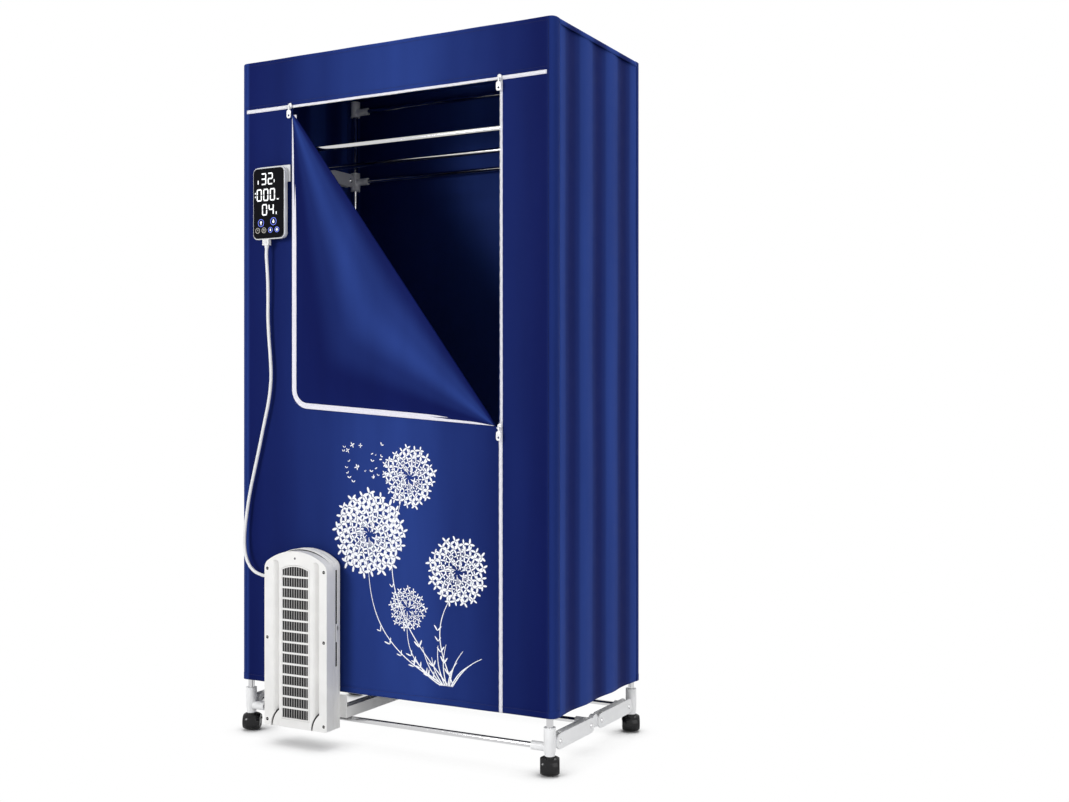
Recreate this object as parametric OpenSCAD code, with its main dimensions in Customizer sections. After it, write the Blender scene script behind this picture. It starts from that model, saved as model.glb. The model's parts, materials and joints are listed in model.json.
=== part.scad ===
// Folding drying cabinet: a chrome frame on casters that folds flat like a pair of hinged
// gates, a cloth cover with a zipped door, and a tower heater at the front with its controller.
// Origin: middle of the footprint, on the floor. +X right, +Y to the back, +Z up.

/* [Cover] */
// Width over the cloth
cabinet_w = 900; // [760:5:1000]
// Depth over the cloth when the frame stands open
cabinet_d = 476; // [440:2:560]
// Height over the roof
cabinet_h = 1700; // [1640:5:1800]
// Height of the cloth's lower edge above the floor
hem_z = 133; // [126:1:170]
// Thickness of the cloth
cloth_t = 2; // [1:0.5:3]
// Outer radius of the cloth's upright corners
corner_r = 16; // [12:1:17]
// How far the front and back cloth wraps round the sides
wrap_d = 26; // [22:1:32]
// Depth of the soft waves in the front and back cloth
ripple = 2; // [1:0.5:3]
// Number of waves across the front and back cloth
ripples = 5; // [3:1:7]
// Depth of the pleats in the side cloth
pleat = 5; // [3:1:8]
// Number of pleats in each side
pleats = 5; // [4:1:7]
// Sag of the roof between its seams
roof_sag = 4; // [2:1:8]

/* [Door] */
// Left end of the door's opening, from the middle of the cabinet
door_x0 = -284; // [-310:1:-250]
// Right-hand zip, from the middle of the cabinet
door_x1 = 312; // [270:1:340]
// Distance below the roof of the zip that runs across the front
zip_drop = 125; // [110:1:160]
// Height of the door slider where the zip is left open
slider_z = 782; // [700:1:900]
// Rise of the folded flap's lower edge towards its left corner
flap_rise = 41; // [20:1:60]
// Radius of the flap's free corner
flap_r = 50; // [20:1:70]
// Radius of the roll where the flap folds over
fold_r = 3; // [2:0.5:4]
// Width of the white tape along the flap's edges
tape_w = 14; // [10:1:18]
// Width of a closed zip
zip_w = 9; // [7:0.5:11]
// Width of half an open zip
zip_half_w = 5; // [3:0.5:6]
// Thickness of the zips and tapes
zip_t = 1.5; // [1:0.25:2]

/* [Frame] */
// Diameter of the upright tubes
post_d = 16; // [14:1:19]
// Diameter of the cross rails
rail_d = 13; // [11:1:15]
// Wall of every tube
tube_wall = 1.2; // [0.8:0.1:2]
// Outer diameter of the sleeves on the posts
sleeve_d = 27; // [25:1:30]
// Height of the feet's underside
foot_z = 47; // [46:1:52]
// Height of a foot
foot_h = 64; // [60:1:76]
// Height of the bottom rails
rail_z = 66; // [64:1:70]
// Height of the upper rails
upper_z = 1465; // [1400:1:1490]
// Length of a rail socket from the post's axis
socket_l = 45; // [34:1:60]
// Outer diameter of a rail socket
socket_d = 20; // [18:1:20]

/* [Folding arms] */
// Height of the lower pivots
pivot_z = 73; // [70:1:78]
// Distance from a post's axis to its pivot
pivot_off = 34; // [33:1:40]
// Distance between the two pivots of a middle block
mid_gap = 58; // [58:1:66]
// Height of an arm
arm_h = 36; // [32:1:36]
// Wall of an arm
arm_wall = 3.5; // [2.5:0.5:4]
// Thickness of the tongues that the arms straddle
tongue_t = 12; // [10:1:14]
// Half height of a tongue
tongue_r = 12; // [10:0.5:13]
// Diameter of a pivot pin
pin_d = 6; // [5:0.5:7]
// Pitch of the ribs inside an arm
rib_pitch = 16; // [12:1:24]

/* [Casters] */
// Radius of a caster wheel
wheel_r = 21.5; // [19:0.5:21.5]
// Width over a pair of wheels
caster_w = 44; // [40:1:48]
// Distance of the axle behind the stem
trail = 10; // [8:1:12]
// Diameter of the stem
stem_d = 8; // [7:0.5:9]
// Length of stem inside the foot
stem_l = 28; // [22:1:29]
// Way the casters point
caster_turn = 28; // [0:1:90]

/* [Heater] */
// Middle of the heater from the middle of the cabinet
heater_x = -222; // [-250:1:-200]
// Width of the front cover
heater_w = 190; // [180:1:210]
// Height of the front cover
heater_h = 429; // [410:1:450]
// Depth of the whole heater
heater_d = 60; // [58:1:70]
// Height of the heater's underside
heater_z = 48; // [44:1:60]
// Depth of the front cover
cover_d = 24; // [20:1:26]
// Wall of the heater's shells
shell_t = 3; // [2:0.5:4]
// Gap between the heater's back and the cloth
heater_gap = 8; // [6:1:12]
// Width of the grille
grille_w = 85; // [75:1:90]
// Height of the grille
grille_h = 375; // [350:1:380]
// Rows of slots
grille_rows = 14; // [10:1:16]
// Slots in a row
grille_cols = 11; // [7:1:13]
// Radius of the cross-flow fan
fan_r = 17; // [14:1:18]
// Blades of the fan
fan_blades = 18; // [12:1:24]
// Width of the bar that carries the heater
bar_w = 28; // [24:1:32]
// Height of that bar
bar_h = 27; // [22:1:30]
// How far the bar reaches behind the front posts
bar_reach = 205; // [150:1:208]

/* [Controller] */
// Middle of the controller from the middle of the cabinet
control_x = -342; // [-350:1:-320]
// Height of its underside
control_z = 1245; // [1200:1:1300]
// Width of its case
control_w = 100; // [90:1:110]
// Height of its case
control_h = 180; // [160:1:200]
// Depth of its case
control_d = 17; // [15:1:24]
// Diameter of the control cord
cord_d = 8; // [7:0.5:9]

/* [Hidden] */
$fn = 48;

chrome = "silver";
white = "whitesmoke";
blue = "midnightblue";
black = "#181818";

// Clearances
seat_gap = 0.3;   // between pieces that only come close
slip = 0.1;       // round a tube in its socket
run = 0.05;       // round a pin or shaft that turns
bite = 1;         // extra length of a cutting shape

// Places that follow from the sizes
half_w = cabinet_w / 2;
zip_z = cabinet_h - zip_drop;
post_r = post_d / 2;
rail_r = rail_d / 2;
sleeve_r = sleeve_d / 2;
socket_r = socket_d / 2;
post_inset = cloth_t + sleeve_r + seat_gap;
cheek_x = tongue_t / 2 + seat_gap;
arm_half_w = cheek_x + arm_wall;
pin_head = 2.5;
pin_reach = arm_half_w + seat_gap + pin_head;
post_inset_x = max(post_inset, cloth_t + pleat + seat_gap + pin_reach);
post_x = half_w - post_inset_x;
heater_reach = heater_gap + heater_d + 1;
caster_reach = caster_w / 2 * sin(caster_turn) + (wheel_r + trail) * cos(caster_turn) - post_inset;
front_y = -cabinet_d / 2 + (heater_reach - caster_reach) / 2;
back_y = front_y + cabinet_d;
front_post_y = front_y + post_inset;
rear_post_y = back_y - post_inset;
mid_y = (front_post_y + rear_post_y) / 2;
arm_l = (rear_post_y - front_post_y - 2 * pivot_off - mid_gap) / 2;
foot_top = foot_z + foot_h;
stem_top = foot_z + stem_l;
post_z0 = stem_top + 5;
cap_t = 4;
cap_top = cabinet_h - cloth_t - roof_sag - seat_gap;
post_z1 = cap_top - cap_t;
top_rail_drop = 30;
top_rail_z = cap_top - top_rail_drop;
sleeve_half = 26;
rail_end = stem_d / 2 + 3;
upper_rail_end = post_r + 2;
bar_seat = 2;

// ---------------------------------------------------------------- frame

module both_sides() {
    for (side = [0, 1]) mirror([side, 0, 0]) children();
}

module at_front_posts() {
    both_sides() translate([post_x, front_post_y, 0]) children();
}

module at_rear_posts() {
    both_sides() translate([post_x, rear_post_y, 0]) mirror([0, 1, 0]) children();
}

module pipe(radius, length) {
    difference() {
        cylinder(r = radius, h = length);
        translate([0, 0, -bite]) cylinder(r = radius - tube_wall, h = length + 2 * bite);
    }
}

module post() {
    color(chrome) translate([0, 0, post_z0]) pipe(post_r, post_z1 - post_z0);
}

module rail(y, z, end) {
    length = 2 * (post_x - end);
    color(chrome) translate([-length / 2, y, z]) rotate([0, 90, 0]) pipe(rail_r, length);
}

module rail_socket(z) {
    translate([0, 0, z]) rotate([0, -90, 0]) cylinder(r = socket_r, h = socket_l);
}

module rail_bore(z, end) {
    translate([-end, 0, z]) rotate([0, -90, 0]) cylinder(r = rail_r + slip, h = socket_l);
}

// Flat lug from a post, or from a middle block, that an arm straddles
module tongue(z) {
    translate([-tongue_t / 2, 0, z - tongue_r]) cube([tongue_t, pivot_off, 2 * tongue_r]);
    translate([0, pivot_off, z]) rotate([0, 90, 0])
        cylinder(r = tongue_r, h = tongue_t, center = true);
}

module pin_bore(y, z) {
    translate([0, y, z]) rotate([0, 90, 0])
        cylinder(r = pin_d / 2 + run, h = tongue_t + 2 * bite, center = true);
}

// Foot of a post: sleeve above, caster stem below, rail socket inwards and tongue to the middle
module foot() {
    taper = 12;
    taper_in = 2;
    flutes = 10;
    flute_r = 1.2;
    color(white) difference() {
        union() {
            translate([0, 0, foot_z]) cylinder(r1 = sleeve_r - taper_in, r2 = sleeve_r, h = taper);
            translate([0, 0, foot_z + taper]) cylinder(r = sleeve_r, h = foot_h - taper);
            rail_socket(rail_z);
            tongue(pivot_z);
        }
        translate([0, 0, post_z0]) cylinder(r = post_r + slip, h = foot_h);
        translate([0, 0, foot_z - bite]) cylinder(r = stem_d / 2 + run, h = stem_l + 2 * bite);
        rail_bore(rail_z, rail_end);
        pin_bore(pivot_off, pivot_z);
        for (i = [0 : flutes - 1]) rotate(360 * (i + 0.5) / flutes)
            translate([sleeve_r, 0, foot_z - bite]) cylinder(r = flute_r, h = taper);
    }
}

// Sleeve half way up a post, with the upper rail's socket and the upper arms' tongue
module upper_bracket() {
    color(white) difference() {
        union() {
            translate([0, 0, upper_z - sleeve_half]) cylinder(r = sleeve_r, h = 2 * sleeve_half);
            rail_socket(upper_z);
            tongue(upper_z);
        }
        translate([0, 0, upper_z - sleeve_half - bite])
            cylinder(r = post_r + slip, h = 2 * (sleeve_half + bite));
        rail_bore(upper_z, upper_rail_end);
        pin_bore(pivot_off, upper_z);
    }
}

// Cap on a post that holds the top rail
module top_corner() {
    color(white) difference() {
        union() {
            translate([0, 0, top_rail_z - sleeve_r])
                cylinder(r = sleeve_r, h = cap_top - top_rail_z + sleeve_r);
            rail_socket(top_rail_z);
        }
        translate([0, 0, top_rail_z - sleeve_r - bite])
            cylinder(r = post_r + slip, h = post_z1 - top_rail_z + sleeve_r + bite);
        rail_bore(top_rail_z, upper_rail_end);
    }
}

module brackets() {
    upper_bracket();
    top_corner();
}

module rails(y) {
    rail(y, rail_z, rail_end);
    rail(y, upper_z, upper_rail_end);
    rail(y, top_rail_z, upper_rail_end);
}

// ---------------------------------------------------------------- folding arms

// Outline with round ends about two pivots, drawn in the plane of the arm
module link_outline(length, radius) {
    circle(r = radius);
    translate([length, 0]) circle(r = radius);
    translate([0, -radius]) square([length, 2 * radius]);
}

// Channel that straddles a tongue at each end, ribbed inside and open underneath
module arm() {
    web_end = tongue_r + 4;
    rib_t = 2;
    rib_rise = 4;
    ribs = floor((arm_l - 2 * (tongue_r + web_end)) / rib_pitch);
    rib_y0 = (arm_l - ribs * rib_pitch) / 2;
    color(white) difference() {
        union() {
            for (side = [-1, 1])
                translate([side * (cheek_x + arm_wall / 2), 0, 0]) rotate([90, 0, 90])
                    linear_extrude(arm_wall, center = true) link_outline(arm_l, arm_h / 2);
            translate([-arm_half_w, web_end, arm_h / 2 - arm_wall])
                cube([2 * arm_half_w, arm_l - 2 * web_end, arm_wall]);
            for (i = [0 : ribs])
                translate([-arm_half_w, rib_y0 + i * rib_pitch - rib_t / 2, rib_rise - arm_h / 2])
                    cube([2 * arm_half_w, rib_t, arm_h - rib_rise]);
        }
        for (y = [0, arm_l])
            translate([0, y, 0]) rotate([0, 90, 0])
                cylinder(r = pin_d / 2 + run, h = 2 * (arm_half_w + bite), center = true);
    }
}

module rear_arms(z) {
    both_sides() translate([post_x, mid_y + mid_gap / 2, z]) arm();
}

module front_arms(z) {
    both_sides() translate([post_x, mid_y - mid_gap / 2 - arm_l, z]) arm();
}

// Arched block between two arms, with the socket of the bar that joins it to its pair
module mid_block() {
    hump_r = tongue_r + 4;
    hump_rise = 4;
    arch_r = 11;
    arch_rise = 3;
    color(white) difference() {
        union() {
            rotate([90, 0, 90]) linear_extrude(tongue_t, center = true)
                translate([-mid_gap / 2, 0]) link_outline(mid_gap, tongue_r);
            translate([0, 0, hump_rise]) rotate([0, 90, 0])
                cylinder(r = hump_r, h = tongue_t, center = true);
            rotate([0, -90, 0]) cylinder(r = socket_r, h = socket_l);
        }
        translate([-bar_seat, 0, 0]) rotate([0, -90, 0])
            cylinder(r = rail_r + slip, h = socket_l);
        translate([0, 0, arch_rise - tongue_r - arch_r]) rotate([0, 90, 0])
            cylinder(r = arch_r, h = tongue_t + 2 * bite, center = true);
        pin_bore(mid_gap / 2, 0);
        pin_bore(-mid_gap / 2, 0);
    }
}

module mid_blocks(z) {
    both_sides() translate([post_x, mid_y, z]) mid_block();
}

module mid_bar(z) {
    rail(mid_y, z, bar_seat);
}

// Rivet through two cheeks and a tongue
module pivot_pin() {
    seat = pin_reach - pin_head;
    color(chrome) rotate([0, 90, 0]) {
        cylinder(r = pin_d / 2, h = 2 * seat, center = true);
        for (side = [0, 1]) mirror([0, 0, side])
            translate([0, 0, seat]) cylinder(r1 = pin_d, r2 = pin_d * 0.6, h = pin_head);
    }
}

module post_pins() {
    for (z = [pivot_z, upper_z]) translate([0, pivot_off, z]) pivot_pin();
}

module mid_pins(z) {
    both_sides() for (side = [-1, 1])
        translate([post_x, mid_y + side * mid_gap / 2, z]) pivot_pin();
}

// ---------------------------------------------------------------- casters

web_t = 6;
well_gap = 0.8;
hood_r = wheel_r + 2.5;
axle_d = 6;
axle_inset = 3;

module across(x) {
    translate([x, trail, wheel_r]) rotate([0, 90, 0]) children();
}

module wheel_wells() {
    for (side = [0, 1]) mirror([side, 0, 0])
        across(web_t / 2) cylinder(r = wheel_r + well_gap, h = caster_w / 2);
}

// Hood over the pair of wheels, open behind and notched on top, with its stem and the axle
module caster_fork() {
    collar_r = 8;
    hood_z0 = 3;
    open_y = 6;
    open_tilt = 12;
    notch = 9;
    color(black) difference() {
        union() {
            difference() {
                across(-caster_w / 2) cylinder(r = hood_r, h = caster_w);
                translate([-caster_w, trail - 3 * hood_r, hood_z0 - hood_r])
                    cube([2 * caster_w, 6 * hood_r, hood_r]);
                translate([-caster_w, trail + open_y, -bite]) rotate([-open_tilt, 0, 0])
                    cube([2 * caster_w, 2 * hood_r, wheel_r + open_y]);
                translate([0, trail + hood_r / 2, wheel_r + hood_r]) rotate([0, 45, 0])
                    cube([notch, 2 * hood_r, notch], center = true);
            }
            translate([0, 0, wheel_r]) cylinder(r = collar_r, h = foot_z - seat_gap - wheel_r);
            translate([0, 0, wheel_r]) cylinder(r = stem_d / 2, h = stem_top - wheel_r);
        }
        across(-web_t) cylinder(r = axle_d / 2 + run, h = 2 * web_t);
        wheel_wells();
    }
    color(chrome) across(axle_inset - caster_w / 2)
        cylinder(r = axle_d / 2, h = caster_w - 2 * axle_inset);
}

// Two wheels with rounded treads, dished outer faces and hub caps
module caster_wheels() {
    wheel_w = (caster_w - web_t) / 2 - 2 * seat_gap;
    tread_r = 3;
    cap_wall = 1.5;
    color(black) for (side = [0, 1]) mirror([side, 0, 0])
        across(web_t / 2 + seat_gap) rotate_extrude() difference() {
            union() {
                square([wheel_r - tread_r, wheel_w]);
                translate([0, tread_r]) square([wheel_r, wheel_w - 2 * tread_r]);
                for (y = [tread_r, wheel_w - tread_r])
                    translate([wheel_r - tread_r, y]) circle(r = tread_r);
            }
            translate([-bite, -bite])
                square([axle_d / 2 + run + bite, wheel_w + bite - cap_wall - seat_gap]);
            translate([wheel_r * 0.45, wheel_w - cap_wall]) square([wheel_r * 0.3, 2 * cap_wall]);
        }
}

module caster_place(side, row_y) {
    translate([side * post_x, row_y, 0]) rotate(caster_turn) children();
}

// ---------------------------------------------------------------- cover

ripple_steps = 8 * ripples;
corner_steps = 5;

// Plan of the front cloth from one side seam to the other, drawn inset by part of its
// thickness: round corners and soft waves that never pass the front plane
front_flat = cabinet_w - 2 * corner_r;
function ripple_at(x) = ripple * (1 - cos(360 * ripples * (x / front_flat + 0.5))) / 2;
function corner_point(side, a, inset) = [
    side * (half_w - corner_r + (corner_r - inset) * cos(a)),
    corner_r - (corner_r - inset) * sin(a)];
function plan_path(inset) = concat(
    [[-half_w + inset, wrap_d]],
    [for (i = [0 : corner_steps]) corner_point(-1, 90 * i / corner_steps, inset)],
    [for (i = [1 : ripple_steps - 1])
        let (x = front_flat * (i / ripple_steps - 0.5))
        [x, inset + ripple_at(x)]],
    [for (i = [corner_steps : -1 : 0]) corner_point(1, 90 * i / corner_steps, inset)],
    [[half_w - inset, wrap_d]]);
function reversed(points) = [for (i = [len(points) - 1 : -1 : 0]) points[i]];

// Front or back cloth with the strip of roof that is sewn to it
module wrap_panel() {
    translate([0, 0, hem_z]) linear_extrude(cabinet_h - hem_z - cloth_t / 2)
        polygon(concat(plan_path(0), reversed(plan_path(cloth_t))));
    translate([0, 0, cabinet_h - cloth_t]) linear_extrude(cloth_t) polygon(plan_path(0));
}

// Cutter through the front cloth from an outline drawn in the front plane
module through_front() {
    translate([0, front_y + wrap_d / 4, 0]) rotate([90, 0, 0])
        linear_extrude(wrap_d, center = true) children();
}

// Flat piece that lies in front of the cloth, from one depth to another
module on_front(near, thickness) {
    translate([0, front_y - near, 0]) rotate([90, 0, 0]) linear_extrude(thickness) children();
}

module round_box(w, h, r) {
    square([w - 2 * r, h], center = true);
    square([w, h - 2 * r], center = true);
    for (x = [-1, 1], y = [-1, 1]) translate([x * (w / 2 - r), y * (h / 2 - r)]) circle(r = r);
}

flap_right_inset = 12;
flap_drop = 18;
flap_rest = 2;
flap_x1 = door_x1 - flap_right_inset;
flap_top = zip_z - flap_drop;
flap_low = slider_z + flap_rest;
flap_left_z = flap_low + flap_rise;
flap_tilt = atan2(-flap_rise, flap_x1 - door_x0);
duct_w = 120;
duct_h = 190;
duct_r = 30;
duct_rise = 236;
duct_z = heater_z + duct_rise;
slot_w = 70;
slot_h = 40;
slot_r = 12;
slot_rise = 108;
slot_z = control_z + slot_rise;
piping_w = 5;

module door_opening() {
    polygon([[door_x0, flap_top], [door_x0, zip_z - zip_half_w], [door_x1, zip_z - zip_half_w],
             [door_x1 - zip_half_w, flap_low], [flap_x1, flap_low]]);
}

module duct_window(grow) {
    translate([heater_x, duct_z]) round_box(duct_w + 2 * grow, duct_h + 2 * grow, duct_r + grow);
}

module hanger_slot(grow) {
    translate([control_x, slot_z]) round_box(slot_w + 2 * grow, slot_h + 2 * grow, slot_r + grow);
}

module front_panel() {
    color(blue) difference() {
        translate([0, front_y, 0]) wrap_panel();
        through_front() {
            door_opening();
            duct_window(0);
            hanger_slot(0);
        }
    }
}

module back_panel() {
    color(blue) translate([0, back_y, 0]) mirror([0, 1, 0]) wrap_panel();
}

// Strip of cloth with waves, from y0 to y1, lying inside its outer face
function wave_at(u, waves, depth) = depth * (1 - cos(360 * waves * u)) / 2;
function wave_strip(y0, y1, waves, depth) =
    let (steps = 8 * waves,
         outer = [for (i = [0 : steps])
             [y0 + (y1 - y0) * i / steps, -wave_at(i / steps, waves, depth)]])
    concat(outer, reversed([for (p = outer) [p[0], p[1] - cloth_t]]));

seam_y0 = front_y + wrap_d + seat_gap;
seam_y1 = back_y - wrap_d - seat_gap;

module side_panel() {
    color(blue) translate([half_w, 0, hem_z]) rotate([0, 0, 90]) mirror([0, 1, 0])
        linear_extrude(cabinet_h - hem_z - cloth_t - roof_sag - 2 * seat_gap)
            polygon(wave_strip(seam_y0, seam_y1, pleats, pleat));
}

module roof_panel() {
    color(blue) rotate([90, 0, 90]) translate([0, cabinet_h, 0])
        linear_extrude(cabinet_w, center = true)
            polygon(wave_strip(seam_y0, seam_y1, 1, roof_sag));
}

// Left and lower edges of the flap, drawn in by an amount, from its top to its right end
function flap_edge(inset) =
    let (r = flap_r - inset,
         n = [-sin(flap_tilt), cos(flap_tilt)],
         cx = door_x0 + flap_r,
         cz = flap_left_z + (flap_r - flap_r * n[0]) / n[1],
         steps = 8)
    concat([[door_x0 + inset, flap_top]],
           [for (i = [0 : steps]) let (a = 180 + (90 + flap_tilt) * i / steps)
               [cx + r * cos(a), cz + r * sin(a)]],
           [[flap_x1, flap_low + inset / 3]]);

module flap_outline() {
    polygon(flap_edge(0));
}

module door_flap() {
    fold = [flap_x1 - door_x0, 0, flap_low - flap_top];
    fold_lift = 0.4;
    color(blue) {
        on_front(seat_gap, cloth_t) flap_outline();
        translate([door_x0, front_y - seat_gap - fold_lift - fold_r, flap_top])
            rotate([0, 90 - atan2(fold[2], fold[0]), 0]) translate([0, 0, fold_r])
                cylinder(r = fold_r, h = norm(fold) - 2 * fold_r);
    }
}

flap_face = seat_gap + cloth_t;

module flap_tape() {
    color(white) on_front(flap_face, zip_t) intersection() {
        polygon(concat(flap_edge(0), reversed(flap_edge(tape_w))));
        translate([-2 * fold_r, -2 * fold_r]) flap_outline();
    }
}

zip_x1 = half_w - corner_r - 3;
zip_open_z = slider_z + 9;

module zip_tapes() {
    color(white) on_front(0, zip_t) {
        translate([-zip_x1, zip_z - zip_w / 2]) square([zip_x1 + door_x0, zip_w]);
        translate([door_x0, zip_z - zip_half_w / 2]) square([door_x1 - door_x0, zip_half_w]);
        translate([door_x1, zip_z - zip_w / 2]) square([zip_x1 - door_x1, zip_w]);
        translate([door_x1, zip_open_z]) square([zip_half_w, zip_z - zip_open_z]);
        translate([door_x1 - zip_w / 2, hem_z]) square([zip_w, zip_open_z - hem_z]);
    }
}

module window_piping() {
    color(white) on_front(0, zip_t) {
        difference() {
            duct_window(piping_w);
            duct_window(0);
        }
        difference() {
            hanger_slot(piping_w);
            hanger_slot(0);
        }
    }
}

// ---------------------------------------------------------------- zip sliders

slider_w = 11;
slider_l = 15;
plate_t = 3;
plate_r = 3;
ear_x0 = 2;
ear_t = 1.5;
ear_root = 5;
ear_tip = 2;
pull_pin_r = 1;
pull_pin_rise = 4.5;
pull_y = zip_t + seat_gap + plate_t + pull_pin_rise;
pull_pin_z = -2;

// Plate that runs on the zip with two ears for the pull
module zip_slider() {
    color(chrome) difference() {
        union() {
            translate([0, -zip_t - seat_gap, 0]) rotate([90, 0, 0])
                linear_extrude(plate_t) round_box(slider_w, slider_l, plate_r);
            for (side = [0, 1]) mirror([side, 0, 0])
                translate([ear_x0, 0, pull_pin_z]) rotate([90, 0, 90]) linear_extrude(ear_t)
                    polygon([[-zip_t - seat_gap - 1, -ear_root], [-zip_t - seat_gap - 1, ear_root],
                             [-pull_y - ear_tip, ear_tip], [-pull_y - ear_tip, -ear_tip]]);
        }
        translate([0, -pull_y, pull_pin_z]) rotate([0, 90, 0])
            cylinder(r = pull_pin_r + run, h = slider_w, center = true);
    }
}

// Tab with a hole that hangs from the slider's ears
module zip_pull() {
    tab_w = 13;
    tab_l = 22;
    tab_t = 2;
    tab_r = 5;
    neck_w = 2 * (ear_x0 - seat_gap);
    neck_l = 8;
    hole_r = 2.6;
    hole_rise = 7;
    hub_r = pull_pin_r + 0.8;
    color(white) translate([0, -pull_y, pull_pin_z]) {
        rotate([0, 90, 0]) cylinder(r = pull_pin_r, h = 2 * (ear_x0 + ear_t), center = true);
        rotate([0, 90, 0]) cylinder(r = hub_r, h = neck_w, center = true);
        translate([0, tab_t / 2, 0]) rotate([90, 0, 0]) linear_extrude(tab_t) difference() {
            union() {
                translate([-neck_w / 2, -neck_l]) square([neck_w, neck_l]);
                translate([0, 1 - neck_l - tab_l / 2]) round_box(tab_w, tab_l, tab_r);
            }
            translate([0, hole_rise - neck_l - tab_l]) circle(r = hole_r);
        }
    }
}

module at_slider(x, z) {
    translate([x, front_y, z]) children();
}

slider_left_x = door_x0 - slider_w / 2;

// ---------------------------------------------------------------- heater

heater_y = front_y - heater_gap - heater_d;
back_inset = 6;
back_rise = 3;
lip_d = 3;
lip_inset = 9;
groove_w = 23;
groove_x = 61;
groove_depth = 8;
groove_h = 405;
cover_r = 24;
back_r = 22;
spigot_d = 5;
front_wall = shell_t + 2;
ledge = 2;
grille_z = 20;
grille_t = 3;
grille_arch = 10;
fan_clear = 1.5;
fan_y = front_wall + fan_clear + fan_r;
fan_z0 = 80;
fan_l = 270;
fan_gap = 4;
shaft_r = 3;
shaft_l = 10;

module in_heater() {
    translate([heater_x, heater_y, heater_z]) children();
}

// Upright outline with a shallow arch on top that runs smoothly into its round shoulders
module tower_outline(w, h, r) {
    drop = 20;
    chord_in = 4;
    chord = w / 2 - r + chord_in;
    arch_r = (chord * chord + drop * drop) / (2 * drop);
    arch_z = h - arch_r;
    shoulder_x = w / 2 - r;
    shoulder_rise = sqrt((arch_r - r) * (arch_r - r) - shoulder_x * shoulder_x);
    intersection() {
        translate([0, arch_z]) circle(r = arch_r, $fn = 128);
        translate([0, arch_z]) polygon([
            [0, 0], [2 * shoulder_x, 2 * shoulder_rise], [-2 * shoulder_x, 2 * shoulder_rise]]);
    }
    for (x = [-1, 1]) translate([x * shoulder_x, arch_z + shoulder_rise]) circle(r = r);
    translate([-w / 2, 0]) square([w, arch_z + shoulder_rise]);
}

// Inside of the front cover, drawn in by an amount
module cover_cavity(inset) {
    wall = shell_t + inset;
    translate([0, wall]) tower_outline(heater_w - 2 * wall, heater_h - 2 * wall, cover_r - wall);
}

module slab(y, t) {
    translate([0, y + t, 0]) rotate([90, 0, 0]) linear_extrude(t) children();
}

module grille_outline(inset) {
    arch_r = ((grille_w / 2) * (grille_w / 2) + grille_arch * grille_arch) / (2 * grille_arch);
    intersection() {
        translate([inset - grille_w / 2, grille_z + inset])
            square([grille_w - 2 * inset, grille_h - 2 * inset]);
        translate([0, grille_z + grille_h - arch_r]) circle(r = arch_r - inset, $fn = 128);
    }
    translate([inset - grille_w / 2, grille_z + inset])
        square([grille_w - 2 * inset, grille_h / 2]);
}

module groove_outline() {
    translate([-groove_w / 2, -bite]) square([groove_w, groove_h - groove_w / 2 + bite]);
    translate([0, groove_h - groove_w / 2]) circle(r = groove_w / 2);
}

screw_inset = 9;
screw_low = 14;
screw_drop = 46;
screw_x = heater_w / 2 - screw_inset;
screw_zs = [screw_low, heater_h / 2, heater_h - screw_drop];
screw_r = 3;
screw_head = 2;

module at_screws() {
    both_sides() for (z = screw_zs) translate([screw_x, 0, z]) rotate([-90, 0, 0]) children();
}

// Front cover: a tray with two round-topped grooves and a ledge for the grille
module heater_cover() {
    lug_r = 49;
    lug_w = groove_w - 2.5;
    color(white) in_heater() {
        difference() {
            union() {
                difference() {
                    slab(0, cover_d) tower_outline(heater_w, heater_h, cover_r);
                    slab(front_wall, cover_d) cover_cavity(0);
                }
                both_sides() slab(shell_t, groove_depth) intersection() {
                    translate([groove_x, 0])
                        square([groove_w + 2 * shell_t, 2 * groove_h], center = true);
                    translate([0, shell_t / 2])
                        tower_outline(heater_w - shell_t, heater_h - shell_t, back_r);
                }
            }
            both_sides() slab(-bite, groove_depth + bite) translate([groove_x, 0]) groove_outline();
            slab(-bite, bite + ledge) grille_outline(-slip);
            slab(-bite, cover_d) grille_outline(ledge);
            at_screws() translate([0, 0, -bite]) cylinder(r = screw_r + slip, h = screw_head + bite);
        }
        for (x = [-groove_x, groove_x]) slab(0, groove_depth + bite) translate([x + groove_w / 2, 0])
            intersection() {
                translate([-lug_w, 0]) square([lug_w, lug_r]);
                translate([lug_r - lug_w, 0]) circle(r = lug_r);
            }
    }
}

module heater_grille() {
    bar = 5;
    fin = 3.1;
    rim = ledge + 1.5;
    row_h = (grille_h - 2 * ledge) / grille_rows;
    col_w = (grille_w - 2 * ledge) / grille_cols;
    color(white) in_heater() slab(ledge - grille_t, grille_t) difference() {
        grille_outline(0);
        intersection() {
            grille_outline(rim);
            for (row = [0 : grille_rows - 1], col = [0 : grille_cols - 1])
                translate([ledge - grille_w / 2 + col * col_w + fin / 2,
                           grille_z + ledge + row * row_h + bar / 2])
                    square([col_w - fin, row_h - bar]);
        }
    }
}

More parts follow.
